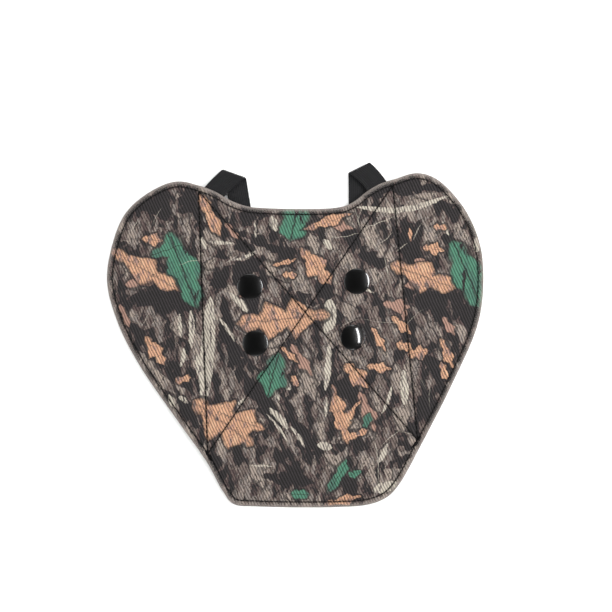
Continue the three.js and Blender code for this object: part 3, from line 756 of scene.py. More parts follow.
def bump(tree, shader, height, distance):
    """Relief that is distance millimetres deep."""
    node = tree.add("Bump", {"Height": height, "Distance": distance * MM, "Strength": 1.0})
    tree.put(shader.inputs["Normal"], node.outputs["Normal"])


def twill_finish(tree, shader, picture, pitch, contrast):
    """Twill over a printed picture, rubbed pale along the sewn edge, with painted shade in the rib grooves
    and along the stitch lines, a painted highlight on the rib crests and painted light on the side of the
    rolled edge.
    """
    place = attribute(tree, "pattern")
    weave = use(tree, twill_weave(), Place=place, Pitch=pitch, Lean=math.radians(-23))
    fuzz = use(tree, fibre_fuzz(), Place=place, Scale=2.6)
    wear = use(tree, edge_wear(), Place=place, Distance=attribute(tree, "edge", "Fac"), Width=3.4)
    # Painted shade: the grooves between the twill ribs are darkened in the colour
    light = tree.math("MULTIPLY_ADD", weave["Rib"], contrast, 0.97 - contrast)
    # Painted shade along each line of stitches, where the cloth is drawn in
    seam = tree.ramp(attribute(tree, "seam", "Fac"), 0.15, 1.1)
    light = tree.math("MULTIPLY", light, tree.math("MULTIPLY_ADD", seam, 0.6, 0.4))
    light = tree.math("MULTIPLY", light, tree.math("MULTIPLY_ADD", weave["Yarn"], 0.3, 0.85))
    light = tree.math("MULTIPLY", light, tree.math("MULTIPLY_ADD", fuzz["Shade"], 0.34, 0.64))
    tint = tree.scale(picture(tree, place), light)
    # Painted highlight on the rib crests, with pale fibres, added to the colour
    nap_and_rib_highlight = tree.math("MULTIPLY", fuzz["Shade"], 0.04 * contrast)
    nap_and_rib_highlight = tree.math("MULTIPLY", tree.math("POWER", weave["Rib"], 2.0), nap_and_rib_highlight)
    tint = tree.vector("ADD", tint, tree.scale((1.0, 0.96, 0.92), nap_and_rib_highlight))
    # Paler outermost band of the edge: painted light on the side of the rolled edge, with rubbed fibres
    rolled_wear_and_light = tree.math("MULTIPLY", tree.ramp(attribute(tree, "edge", "Fac"), 1.6, 0.2), fuzz["Shade"])
    tint = tree.mix(tree.math("MULTIPLY", rolled_wear_and_light, 0.4), tint, colours().worn_and_lit_edge)
    tint = tree.mix(tree.math("MULTIPLY", wear["Mask"], 0.8), tint, colours().worn_and_lit_edge)
    tree.put(shader.inputs["Base Color"], tint)
    tree.put(shader.inputs["Roughness"], tree.math("MULTIPLY_ADD", fuzz["Shade"], 0.2, 0.74))
    shader.inputs["Specular IOR Level"].default_value = 0.25
    shader.inputs["Sheen Weight"].default_value = 0.06
    shader.inputs["Sheen Roughness"].default_value = 0.5
    bump(tree, shader, tree.math("MULTIPLY_ADD", fuzz["Height"], 0.35, weave["Height"]), 0.16)


def camo_finish(tree, shader):
    twill_finish(tree, shader, camouflage, sizes().rib / MM, 0.74)


def lining_picture(tree, place):
    fade = tree.noise(place, 0.05, 2.0)
    dark, pale = colours().lining, [c * 1.5 for c in colours().lining]
    return tree.mix(tree.ramp(fade.outputs["Fac"], 0.35, 0.7), dark, pale)


def lining_finish(tree, shader):
    twill_finish(tree, shader, lining_picture, 0.8 * sizes().rib / MM, 0.5)


def wadding_finish(tree, shader):
    place = attribute(tree, "pattern")
    fuzz = use(tree, fibre_fuzz(), Place=place, Scale=1.2)
    shaded = [0.7 * c for c in colours().wadding]
    tint = tree.mix(tree.ramp(fuzz["Shade"], 0.3, 0.7), shaded, colours().wadding)
    tree.put(shader.inputs["Base Color"], tint)
    shader.inputs["Roughness"].default_value = 0.95
    bump(tree, shader, fuzz["Height"], 0.5)


def thread_finish(tree, shader):
    """Two-ply thread: a lay that runs round it, with loose fibres."""
    place = attribute(tree, "run")
    fuzz = use(tree, fibre_fuzz(), Place=place, Scale=5.0)
    axes = tree.add("SeparateXYZ", {"Vector": place})
    lay = tree.math("SINE", tree.math("MULTIPLY_ADD", axes.outputs["X"], 9.0, axes.outputs["Y"]))
    loose = [3 * c + 0.002 for c in colours().thread]
    tint = tree.mix(tree.ramp(fuzz["Shade"], 0.5, 0.8), colours().thread, loose)
    tree.put(shader.inputs["Base Color"], tint)
    tree.put(shader.inputs["Roughness"], tree.math("MULTIPLY_ADD", fuzz["Shade"], 0.2, 0.75))
    shader.inputs["Specular IOR Level"].default_value = 0.15
    bump(tree, shader, tree.math("MULTIPLY_ADD", fuzz["Height"], 0.4, lay), 0.05)


def elastic_finish(tree, shader):
    """Knitted elastic: fine courses across every rib, with painted shade in the grooves and a faint painted
    highlight on the ribs.
    """
    place = attribute(tree, "strip")
    fuzz = use(tree, fibre_fuzz(), Place=place, Scale=3.4)
    axes = tree.add("SeparateXYZ", {"Vector": place})
    ribs = sizes().elastic_ribs / (STRAP_WIDTH / MM)
    rib = tree.math("ABSOLUTE", tree.math("SINE", tree.math("MULTIPLY", axes.outputs["X"], math.pi * ribs)))
    slant = tree.math("MULTIPLY_ADD", rib, 0.9, tree.math("MULTIPLY", axes.outputs["Y"], 8.0))
    course = tree.math("MULTIPLY_ADD", tree.math("SINE", slant), 0.5, 0.5)
    shade = tree.math("MULTIPLY", tree.math("MULTIPLY_ADD", course, 0.4, 0.6), tree.ramp(rib, 0.1, 0.8))
    # Painted shade in the grooves and painted highlight on the ribs, mixed by the rib shape
    groove, ridge = [0.2 * c for c in colours().elastic], [3 * c + 0.004 for c in colours().elastic]
    tint = tree.mix(tree.math("MULTIPLY", shade, fuzz["Shade"]), groove, ridge)
    tree.put(shader.inputs["Base Color"], tint)
    tree.put(shader.inputs["Roughness"], tree.math("MULTIPLY_ADD", fuzz["Shade"], 0.3, 0.45))
    shader.inputs["Specular IOR Level"].default_value = 0.3
    bump(tree, shader, tree.math("MULTIPLY_ADD", fuzz["Height"], 0.3, course), 0.07)


def resin_finish(tree, shader):
    """Moulded resin: a hard gloss with hair scratches and a few dulled spots."""
    place = tree.scale(tree.add("TexCoord").outputs["Object"], 1 / MM)
    scratch = tree.noise(tree.turned(place, 31, (0.25, 6, 1)), 1.0, 2.0, 0.6)
    haze = use(tree, fibre_fuzz(), Place=place, Scale=0.5)
    lines = tree.ramp(scratch.outputs["Fac"], 0.66, 0.72)
    spots = tree.math("MULTIPLY", tree.ramp(haze["Shade"], 0.5, 0.8), 0.05)
    dull = tree.math("MULTIPLY_ADD", lines, 0.12, spots)
    tree.put(shader.inputs["Roughness"], tree.math("ADD", dull, 0.07))
    tint = tree.mix(lines, colours().resin, [2 * c + 0.004 for c in colours().resin])
    tree.put(shader.inputs["Base Color"], tint)
    shader.inputs["IOR"].default_value = 1.6
    shader.inputs["Coat Weight"].default_value = 0.5
    shader.inputs["Coat Roughness"].default_value = 0.32
    bump(tree, shader, haze["Height"], 0.012)


def floor_finish(tree, shader):
    place = tree.add("TexCoord").outputs["Object"]
    cloud = tree.noise(place, 3.0, 2.0)
    tint = tree.mix(cloud.outputs["Fac"], colours().floor, [0.985 * c for c in colours().floor])
    tree.put(shader.inputs["Base Color"], tint)
    shader.inputs["Roughness"].default_value = 0.85
    shader.inputs["Specular IOR Level"].default_value = 0.1


FINISHES = {
    "Printed twill": camo_finish,
    "Lining twill": lining_finish,
    "Cotton wadding": wadding_finish,
    "Sewing thread": thread_finish,
    "Ribbed elastic": elastic_finish,
    "Moulded resin": resin_finish,
    "Pale floor": floor_finish,
}

# ------------------------------------------------------------------ meshes


def new_piece(name, points, faces, finish, attributes=None):
    """A piece from points in metres, with its finish and stored coordinates."""
    mesh = bpy.data.meshes.new(name)
    mesh.from_pydata([tuple(p) for p in points], [], [tuple(int(i) for i in f) for f in faces])
    for label, values in (attributes or {}).items():
        kind = "FLOAT_VECTOR" if np.ndim(values) == 2 else "FLOAT"
        layer = mesh.attributes.new(label, kind, "POINT")
        field = "vector" if kind == "FLOAT_VECTOR" else "value"
        layer.data.foreach_set(field, np.ravel(values).astype(np.float32))
    mesh.validate()
    mesh.shade_smooth()
    mesh.materials.append(material(finish))
    piece = bpy.data.objects.new(name, mesh)
    bpy.context.scene.collection.objects.link(piece)
    return piece


def add_bake_map(piece, flat_points, front_count):
    """A flat map for a cloth shell: its outer face fills most of it, its inner face a strip below."""
    low, high = flat_points.min(0), flat_points.max(0)
    u, v = ((flat_points - low) / (high - low)).T
    u = 0.01 + 0.98 * u
    v = np.where(np.arange(len(v)) < front_count, 0.18 + 0.81 * v, 0.01 + 0.14 * v)
    layer = piece.data.uv_layers.new(name="OFBake")
    corners = np.array([loop.vertex_index for loop in piece.data.loops])
    layer.data.foreach_set("uv", np.column_stack([u[corners], v[corners]]).astype(np.float32).ravel())


def lathe(profile, sides=72):
    """Points and faces of a turned solid: profile is (radius, height) from one end to the other."""
    points, faces, rings = [], [], []
    for radius, height in profile:
        if radius < 1e-6:
            rings.append([len(points)] * sides)
            points.append((0, 0, height))
            continue
        rings.append(list(range(len(points), len(points) + sides)))
        for k in range(sides):
            angle = 2 * math.pi * k / sides
            points.append((radius * math.cos(angle), radius * math.sin(angle), height))
    for low, high in zip(rings, rings[1:]):
        for k in range(sides):
            after = (k + 1) % sides
            face = list(dict.fromkeys([low[k], low[after], high[after], high[k]]))
            if len(face) > 2:
                faces.append(face)
    return np.array(points), faces


def rounded_corners(profile, radius, steps=4):
    """The profile with its inner points rounded off."""
    out = [profile[0]]
    for before, corner, after in zip(profile, profile[1:], profile[2:]):
        before, corner, after = (np.array(p, float) for p in (before, corner, after))
        ways = [before - corner, after - corner]
        reach = min(radius, *(0.45 * np.linalg.norm(way) for way in ways))
        a, b = (corner + reach * way / np.linalg.norm(way) for way in ways)
        for k in range(steps + 1):
            t = k / steps
            out.append(tuple((1 - t) ** 2 * a + 2 * t * (1 - t) * corner + t * t * b))
    return out + [profile[-1]]


# ------------------------------------------------------------------ pockets


EDGE_ROWS = (0.35, 0.9, 1.8, STITCH_INSET, STITCH_INSET + 1.1)  # depths of the rows of points inside the edge
FOLD_ROWS = (0.8, 1.8)  # and of those on either side of a fold
CROSS_ROWS = (-0.9, 0, 0.9)  # and along a diagonal


def triangulated(name, step):
    """The flat triangles of a pocket: rows along its edges and seams, and an even lattice inside."""
    inside = POCKETS[name]
    runs = [spaced(run, step) for run in stretches(OUTLINE, inside)]
    border = []
    for run, after in zip(runs, runs[1:] + runs[:1]):
        border += [run, straight(run[-1], after[0], step)[1:-1]]
    border = np.concatenate(border)
    rows = []
    every_nth = max(1, round(step / 0.6))
    loop, loop_normals = OUTLINE[::every_nth], inward(OUTLINE)[::every_nth]
    for depth in EDGE_ROWS:
        row = loop + depth * loop_normals
        rows.append(row[(inside(row) > 0.5) & (distance_to(row, OUTLINE, True) > 0.93 * depth)])
    for side in SIDES:
        seam = straight(*FOLD_ENDS[side], step)
        for depth in FOLD_ROWS:
            for sign in (-1, 1):
                moved = seam + [sign * depth, 0]
                rows.append(moved[(inside(moved) > 0.5) & (distance_to(moved, OUTLINE, True) > 5)])
    if name == "centre":
        for line in DIAGONALS:
            run = spaced(line, step)
            normal = np.array([line[0][1] - line[1][1], line[1][0] - line[0][0]])
            normal /= np.linalg.norm(normal)
            for depth in CROSS_ROWS:
                row = run + depth * normal
                rows.append(row[(inside(row) > 2.6) & (distance_to(row, OUTLINE, True) > 5.4)])
    fixed = np.concatenate([border, *rows])
    low, high = border.min(0), border.max(0)
    lattice = []
    for j, y in enumerate(np.arange(low[1], high[1], step * 0.866)):
        xs = np.arange(low[0] + (j % 2) * step / 2, high[0], step)
        lattice.append(np.column_stack([xs, np.full(len(xs), y)]))
    lattice = np.concatenate(lattice)
    lattice = lattice[inside(lattice) > 2.4]
    lattice = lattice[within(lattice, border)]
    clear = distance_to(lattice, OUTLINE, True) > STITCH_INSET + 1.6
    for line in DIAGONALS if name == "centre" else []:
        clear &= distance_to(lattice, line) > 1.5
    every = np.concatenate([fixed, lattice[clear]])
    count = len(border)
    edges = [(k, (k + 1) % count) for k in range(count)]
    found = delaunay_2d_cdt([Vector(p) for p in every], edges, [], 1, 1e-5, False)
    points = np.array([tuple(p) for p in found[0]])
    triangles = np.array([face for face in found[2] if len(face) == 3])
    a, b, c = (points[triangles[:, k]] for k in range(3))
    area = (b - a)[:, 0] * (c - a)[:, 1] - (b - a)[:, 1] * (c - a)[:, 0]
    triangles[area < 0] = triangles[area < 0][:, ::-1]
    return points, triangles[within((a + b + c) / 3, border)]


def within(points, border):
    """Whether each point lies inside a closed line."""
    a, b = border, np.roll(border, -1, axis=0)
    x, y = points[:, :1], points[:, 1:]
    spans = (a[:, 1] > y) != (b[:, 1] > y)
    with np.errstate(divide="ignore", invalid="ignore"):
        meets = a[:, 0] + (y - a[:, 1]) * (b[:, 0] - a[:, 0]) / (b[:, 1] - a[:, 1])
    return (spans & (x < meets)).sum(1) % 2 == 1


def border_loop(triangles):
    """The outer edges of a triangle mesh as one ordered loop."""
    edges = {}  # a dictionary keeps their order
    for face in triangles:
        for a, b in zip(face, np.roll(face, -1)):
            edges[(int(a), int(b))] = True
    after = {a: b for a, b in edges if (b, a) not in edges}
    loop = [next(iter(after))]
    while after[loop[-1]] != loop[0]:
        loop.append(after[loop[-1]])
    return loop


def seam_distances(points):
    """Distance of pattern points to the outline, the folds, the diagonals and the nearest snap."""
    return {
        "edge": distance_to(points, OUTLINE, True),
        "fold": np.abs(inside_folds(points)),
        "cross": np.minimum(*(distance_to(points, line) for line in DIAGONALS)),
        "snap": np.min([np.linalg.norm(points - np.array(c), axis=1) for c in SNAPS.values()], axis=0),
    }


ROLL_WIDTH, ROLL_HEIGHT = 1.3, 1.17  # of the rolled edge, half its thickness
EDGE_DENT, FOLD_DENT, CROSS_DENT = 0.34, 0.3, 0.42  # how far the stitches draw the cloth in
FOLD_SLOPE = 0.62  # how far a pocket thins down towards a fold line


def half_thickness(near, behind=False):
    """Height of the cloth from the middle of the padding: rolled at the edge, drawn in at the stitches."""
    roll = np.clip(near["edge"] / ROLL_WIDTH, 0, 1)
    height = 0.12 + (ROLL_HEIGHT - 0.12) * np.sqrt(1 - (1 - roll) ** 2)
    height += (HALF - ROLL_HEIGHT) * smooth(near["edge"], STITCH_INSET, STITCH_INSET + 5)
    height -= EDGE_DENT * hollow(near["edge"] - STITCH_INSET, 0.95)
    drawn = FOLD_SLOPE * (1 - smooth(near["fold"], 0, 5)) + FOLD_DENT * hollow(near["fold"], 0.9)
    height -= drawn * smooth(near["edge"], 1, 4)
    crossed = CROSS_DENT * (0.6 if behind else 1)
    height -= crossed * hollow(near["cross"], 1.3) * smooth(near["edge"], 4, 6)
    return np.maximum(height, 0.1 * np.minimum(roll * 8, 1) + 0.02)


def held(near):
    """One where stitches and snaps hold the layers together, zero where the filling may swell them."""
    stitched = np.minimum.reduce([near["edge"] - STITCH_INSET, near["fold"], near["cross"]])
    return np.maximum(1 - smooth(stitched, 0.5, 2.2), 1 - smooth(near["snap"], 7.2, 9.5))


FILL_FRAMES = 16
FILL_GRID = 2.7
FILL_SETTINGS = {
    "quality": 4,
    "mass": 0.25,
    "tension_stiffness": 12,
    "compression_stiffness": 8,
    "bending_stiffness": 0.3,
    "shrink_min": -0.015,
    "use_pressure": True,
}


def filled(name):
    """How far the filling moves a pocket's front and back: a cloth simulation on a coarser grid."""
    points, triangles = triangulated(name, FILL_GRID)
    near = seam_distances(points)
    base = lift(points) + MIDDLE
    count = len(points)
    loop = border_loop(triangles)
    other = np.arange(count, 2 * count)
    other[loop] = loop
    front = placed(points, base + half_thickness(near))
    back = placed(points, base - half_thickness(near, True))
    front[loop] = placed(points[loop], base[loop])
    mesh = bpy.data.meshes.new("filling")
    faces = [tuple(t) for t in triangles.tolist()] + [tuple(other[t][::-1].tolist()) for t in triangles]
    mesh.from_pydata(np.concatenate([front, back]).tolist(), [], faces)
    shape = bpy.data.objects.new("filling", mesh)
    bpy.context.scene.collection.objects.link(shape)
    grip = shape.vertex_groups.new(name="held")
    firm = held(near)
    for i in range(count):
        grip.add([i, count + i], float(firm[i]), "REPLACE")
    grip.add(loop, 1.0, "REPLACE")
    cloth = shape.modifiers.new("Filling", "CLOTH")
    for setting, value in FILL_SETTINGS.items():
        setattr(cloth.settings, setting, value)
    cloth.settings.uniform_pressure_force = sizes().pressure
    cloth.settings.vertex_group_mass = grip.name
    cloth.settings.effector_weights.gravity = 0
    cloth.collision_settings.use_collision = False
    cloth.point_cache.frame_start = 1
    cloth.point_cache.frame_end = FILL_FRAMES
    scene = bpy.context.scene
    for number in range(1, FILL_FRAMES + 1):
        scene.frame_set(number)
    result = shape.evaluated_get(bpy.context.evaluated_depsgraph_get()).data
    moved = np.array([v.co for v in result.vertices]) - np.concatenate([front, back])
    scene.frame_set(1)
    bpy.data.objects.remove(shape)
    bpy.data.meshes.remove(mesh)
    moved /= MM
    reach = np.linalg.norm(moved, axis=1)
    most = sizes().puff / MM
    moved *= (most * np.tanh(reach / most) / np.maximum(reach, 1e-9))[:, None]
    moved[count + np.array(loop)] = 0
    return points, triangles, moved[:count], moved[count:]


def carried(points, coarse, triangles, values):
    """Values of the coarse grid's points, read off at other points."""
    flat = BVHTree.FromPolygons([(*p, 0) for p in coarse.tolist()], triangles.tolist())
    found = np.array([flat.find_nearest((p[0], p[1], 0))[2] for p in points])
    a, b, c = (coarse[triangles[found, k]] for k in range(3))
    whole = (b - a)[:, 0] * (c - a)[:, 1] - (b - a)[:, 1] * (c - a)[:, 0]
    share_b = ((points - a)[:, 0] * (c - a)[:, 1] - (points - a)[:, 1] * (c - a)[:, 0]) / whole
    share_c = ((b - a)[:, 0] * (points - a)[:, 1] - (b - a)[:, 1] * (points - a)[:, 0]) / whole
    share_b, share_c = np.clip(share_b, 0, 1), np.clip(share_c, 0, 1)
    share = np.column_stack([1 - share_b - share_c, share_b, share_c])
    return sum(share[:, k, None] * values[triangles[found, k]] for k in range(3))


def evened(values, triangles, times):
    """Values averaged with their neighbours, a few times."""
    edges = np.concatenate([triangles[:, pair] for pair in ([0, 1], [1, 2], [2, 0])])
    edges = np.unique(np.sort(edges, axis=1), axis=0)
    count = np.bincount(edges.ravel(), minlength=len(values))[:, None]
    for _ in range(times):
        total = np.zeros_like(values)
        np.add.at(total, edges[:, 0], values[edges[:, 1]])
        np.add.at(total, edges[:, 1], values[edges[:, 0]])
        values = 0.5 * values + 0.5 * total / count
    return values


def closed(triangles, loop, count):
    """Faces of two layers of the same triangles, joined round their border."""
    rim = [(b, a, a + count, b + count) for a, b in zip(loop, loop[1:] + loop[:1])]
    return [*triangles.tolist(), *(triangles[:, ::-1] + count).tolist(), *rim]


def both_faces(flat):
    """Pattern points as stored coordinates, for the outer and the inner face."""
    return np.tile(np.column_stack([flat, np.zeros(len(flat))]), (2, 1))


STRAP_ROOM = 0.45  # how far the layers part on either side of a strap


class Pocket:
    """One sewn pocket: its flat pattern, and where its front and back lie once it is filled."""

    def __init__(self, name):
        self.name = name
        self.flat, self.triangles = triangulated(name, sizes().grid / MM)
        self.loop = border_loop(self.triangles)
        self.near = seam_distances(self.flat)
        self.middle = lift(self.flat) + MIDDLE
        front = back = np.zeros((len(self.flat), 3))
        coarse, triangles, front, back = filled(name)
        free = (1 - held(self.near))[:, None]
        front = evened(carried(self.flat, coarse, triangles, front), self.triangles, 4) * free
        back = evened(carried(self.flat, coarse, triangles, back), self.triangles, 4) * free
        from_straps = [np.linalg.norm(self.flat - exit_point(side), axis=1) for side in SIDES]
        opened = STRAP_ROOM * np.max([hollow(gap, 6.5) for gap in from_straps], axis=0)
        opened = opened * (1 - smooth(self.near["edge"], 0, 3))
        self.front = self.middle + half_thickness(self.near) + opened + front[:, 2]
        self.back = self.middle - half_thickness(self.near, True) - opened + back[:, 2]
        self.back = np.maximum(self.back, 0.04)
        self.side = front[:, :2]
        self.back_side = back[:, :2]

    def shell(self, name, outer, inner, moved, finish, slot, back=False):
        """A closed sheet between two heights over the whole pattern."""
        points = np.concatenate([placed(self.flat + moved, outer), placed(self.flat + moved, inner)])
        faces = closed(self.triangles, self.loop, len(self.flat))
        if back:
            faces = [face[::-1] for face in faces]
        stored = {"pattern": both_faces(self.flat), "edge": np.tile(self.near["edge"], 2)}
        cross = self.near["cross"] if self.name == "centre" else self.near["fold"]
        # Distance to the nearest stitch line; the twill darkens its colour near it as painted shade
        seam = np.minimum.reduce([abs(self.near["edge"] - STITCH_INSET), self.near["fold"], cross])
        stored["seam"] = np.tile(seam, 2)
        piece = new_piece(name, points, faces, finish, stored)
        add_bake_map(piece, np.tile(self.flat, (2, 1)), len(self.flat))
        return piece

    def area(self):
        a, b, c = (self.flat[self.triangles[:, k]] for k in range(3))
        return abs(np.cross(b - a, c - a)).sum() / 2 * MM**2

    def cut_size(self):
        return tuple(float(x) * MM for x in self.flat.max(0) - self.flat.min(0))


SHAPES = {}


def pockets():
    """The filled pockets by name."""
    if not SHAPES:
        raise RuntimeError("fill the pockets first, with mask.fill_pockets")
    return SHAPES


def join_body(piece, pocket):
    """A centre piece rides on the centre; any other piece keeps its place and rides on no body."""
    if pocket == "centre":
        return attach(piece, "centre")
    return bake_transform(piece)


def surface(face):
    """A tree that finds the height of the whole panel's front or back."""
    points, triangles = [], []
    for shape in pockets().values():
        triangles.append(shape.triangles + sum(len(p) for p in points))
        side, z = (shape.side, shape.front) if face == "front" else (shape.back_side, shape.back)
        points.append(np.column_stack([shape.flat + side, z]))
    return BVHTree.FromPolygons(np.concatenate(points).tolist(), np.concatenate(triangles).tolist())


def height_at(tree, x, y, face):
    """The height of the panel's front or back over a pattern point."""
    start, way = ((x, y, 50), (0, 0, -1)) if face == "front" else ((x, y, -50), (0, 0, 1))
    hit = tree.ray_cast(start, way)[0]
    if hit is None:
        hit = tree.find_nearest((x, y, 5))[0]
    return hit.z


# ------------------------------------------------------------------ stitching

STITCH_SIDES = 6
STITCH_RINGS = 9
STITCH_GAP = 0.25


def stitches_along(line):
    """The two ends of each stitch along a line."""
    total = np.linalg.norm(np.diff(line, axis=0), axis=1).sum()
    long = sizes().stitch / MM
    marks = spaced(line, total / max(1, round(total / long)))
    out = []
    for a, b in zip(marks, marks[1:]):
        way = (b - a) / np.linalg.norm(b - a)
        out.append((a + STITCH_GAP / 2 * way, b - STITCH_GAP / 2 * way))
    return out


def thread_mesh(pairs, trees):
    """Arched stitches on the front and behind the panel, as points in metres, faces and coordinates."""
    points, faces, run = [], [], []
    radius = sizes().thread / MM
    for face, sign in (("front", 1), ("back", -1)):
        for a, b in pairs:
            long = np.linalg.norm(b - a)
            way = (b - a) / long
            side = np.array([-way[1], way[0]])
            first = len(points)
            for k in range(STITCH_RINGS):
                t = k / (STITCH_RINGS - 1)
                at = a + (b - a) * t
                bow = math.sin(math.pi * t) ** 0.6
                z = height_at(trees[face], at[0], at[1], face) + sign * radius * (1.15 * bow - 0.35)
                if face == "back":
                    z = max(z, radius + 0.02)
                size = radius * (0.55 + 0.45 * bow)
                for s in range(STITCH_SIDES):
                    angle = 2 * math.pi * s / STITCH_SIDES
                    flat = at + side * size * math.cos(angle)
                    points.append((*(flat + OFFSET), z + size * math.sin(angle)))
                    run.append((t * long, angle, 0))
            for k in range(STITCH_RINGS - 1):
                ring = first + k * STITCH_SIDES
                for s in range(STITCH_SIDES):
                    i, j = ring + s, ring + (s + 1) % STITCH_SIDES
                    faces.append((i, i + STITCH_SIDES, j + STITCH_SIDES, j))
            faces.append(tuple(range(first, first + STITCH_SIDES)))
            last = first + (STITCH_RINGS - 1) * STITCH_SIDES
            faces.append(tuple(reversed(range(last, last + STITCH_SIDES))))
    return np.array(points) * MM, faces, np.array(run)


def backstitch(at, way, count, seed):
    """A short knot of stitches sewn back and forth over each other."""
    chance = random.Random(seed)
    side = np.array([-way[1], way[0]])
    out = []
    for _ in range(count):
        middle = at + way * chance.uniform(-4.2, 4.2) + side * chance.uniform(-0.8, 0.8)
        turn = way * 1.3 + side * chance.uniform(-0.5, 0.5)
        out.append((middle - turn, middle + turn))
    return out


def sew(name, pocket, pairs, replaced):
    """Stitches on both faces as one piece, which rides on the centre when its pocket is the centre."""
    trees = {face: surface(face) for face in ("front", "back")}
    points, faces, run = thread_mesh(pairs, trees)
    piece = new_piece(name, points, faces, "Sewing thread", {"run": run})
    join_body(piece, pocket)
    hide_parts(*replaced)
    return piece


# ------------------------------------------------------------------ snaps and straps

CAP_RADIUS = 7.75
CAP_BACK, CAP_TOP = 9.45, 11.7


def cap_profile():
    """A snap cap from the foot of its post to its crown: flat back, rolled rim, shallow dome."""
    radius, roll = sizes().dome / MM, 0.5
    edge = math.asin((CAP_RADIUS - roll) / (radius - roll))
    inner = CAP_RADIUS - roll
    low = CAP_TOP - radius * (1 - math.cos(edge)) - roll * math.cos(edge)
    profile = [(0, 4.9), (1, 4.9), (1, CAP_BACK + 0.25), (CAP_RADIUS - 1.1, CAP_BACK + 0.25)]
    profile += [(CAP_RADIUS - 0.6, CAP_BACK), (CAP_RADIUS - 0.2, CAP_BACK)]
    profile += [(CAP_RADIUS - 0.03, (CAP_BACK + low) / 2)]
    for slope in np.linspace(math.pi / 2, edge, 12):
        profile.append((inner + roll * math.sin(slope), low + roll * math.cos(slope)))
    for slope in np.linspace(edge, 0, 14)[1:]:
        profile.append((radius * math.sin(slope), CAP_TOP - radius * (1 - math.cos(slope))))
    return profile


def turned_piece(name, profile, centre, node, body, lean=0.0):
    """A moulded part; a lean tips what stands above the cap's back to the right."""
    points, faces = lathe(profile)
    if lean:
        x, z = points[:, 0].copy(), points[:, 2] - CAP_BACK
        above = np.clip(z / 0.2, 0, 1)
        points[:, 0] = x + above * (x * (math.cos(lean) - 1) + z * math.sin(lean))
        points[:, 2] = CAP_BACK + z + above * (z * (math.cos(lean) - 1) - x * math.sin(lean))
    points[:, :2] += centre
    piece = new_piece(name, points * MM, faces, "Moulded resin")
    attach(piece, body)
    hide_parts(node)
    return piece


SOCKET_PROFILE = [
    (1.3, 5.2), (2.2, 5.2), (2.2, 3.8), (3.4, 3.8), (4.0, 4.4),
    (5.0, 4.6), (5.3, 4.9), (5.3, 5.8), (1.3, 5.8), (1.3, 5.2),
]
STUD_PROFILE = [
    (1.1, 2.8), (5.1, 2.8), (5.1, 3.5), (1.95, 3.5), (2.05, 3.9), (1.7, 4.25), (1.1, 4.25), (1.1, 2.8),
]
STRAP_CAP_PROFILE = [
    (0, 0), (4.2, 0), (5.8, 0.55), (5.8, 0.9), (5.4, 1.3), (0.75, 1.3), (0.75, 3.5), (0, 3.5),
]

STRAP_WIDTH = 12.7 * MM
STRAP_THICKNESS = 0.9
POINTS_PER_RIB = 6
RIB_DEPTH = 0.2
STRAP_EDGE = 0.12  # half the thickness of the tape's edges
STRAP_EXITS = {"left": -49, "right": 48.5}
STRAP_LEANS = {"left": (47, 39, 39), "right": (62, 41.5, 31.5)}  # degrees, at the seam, crease and snap
STRAP_CREASES = {"left": (-37.73, 94.42), "right": (40.2, 95.3)}
STRAP_TUCK = 3.2  # how far the tape reaches into the seam
STRAP_END = 9  # and past the snap
STRAP_STEP = 0.7
SEAM_Z, RUN_Z = 4.4, 2.05  # the middle of the elastic before and after its crease


def exit_point(side):
    """Where a strap leaves the outline, on the neck side."""
    x = STRAP_EXITS[side]
    above = OUTLINE[OUTLINE[:, 1] > 60]
    order = np.argsort(above[:, 0])
    return np.array([x, np.interp(x, above[order, 0], above[order, 1])])


def crease_axis(side):
    """The direction of a strap's fold line, which is the axis that the strap swings on."""
    joint = next(joint for joint in frame["joints"] if joint["name"] == side + "_strap_swing")
    return np.array(joint["axis"][:2])


def strap_course(side):
    """Lengths along a strap laid flat, with the points of its middle and its directions there."""
    crease = np.array(STRAP_CREASES[side])
    before = np.linalg.norm(exit_point(side) - crease) + STRAP_TUCK
    after = np.linalg.norm(np.array(SNAPS["upper_" + side]) - crease) + STRAP_END
    along = np.arange(0, before + after + STRAP_STEP, STRAP_STEP) - before
    seam, fold, snap = STRAP_LEANS[side]
    lean = np.radians(np.interp(along, [-before, 0, after], [seam, fold, snap]))
    way = np.column_stack([np.cos(lean) * (1 if side == "left" else -1), np.sin(lean)])
    route = np.cumsum(way * STRAP_STEP, axis=0)
    middle = [np.interp(0, along, route[:, k]) for k in range(2)]
    return along + before, route - middle + crease, way


def tape_faces(rows, columns):
    """Faces of a closed tape whose points run row by row, first its face and then its back."""

    def face_point(i, j):
        return i * (columns + 1) + j

    def back_point(i, j):
        return rows * (columns + 1) + face_point(i, j)

    faces = []
    for i in range(rows - 1):
        for j in range(columns):
            square = [(i, j), (i, j + 1), (i + 1, j + 1), (i + 1, j)]
            faces.append(tuple(face_point(*p) for p in square))
            faces.append(tuple(back_point(*square[k]) for k in (0, 3, 2, 1)))
        for j, (a, b) in ((0, (i, i + 1)), (columns, (i + 1, i))):
            faces.append((face_point(a, j), face_point(b, j), back_point(b, j), back_point(a, j)))
    for j in range(columns):
        for i, (a, b) in ((0, (j + 1, j)), (rows - 1, (j, j + 1))):
            faces.append((face_point(i, a), face_point(i, b), back_point(i, b), back_point(i, a)))
    return faces


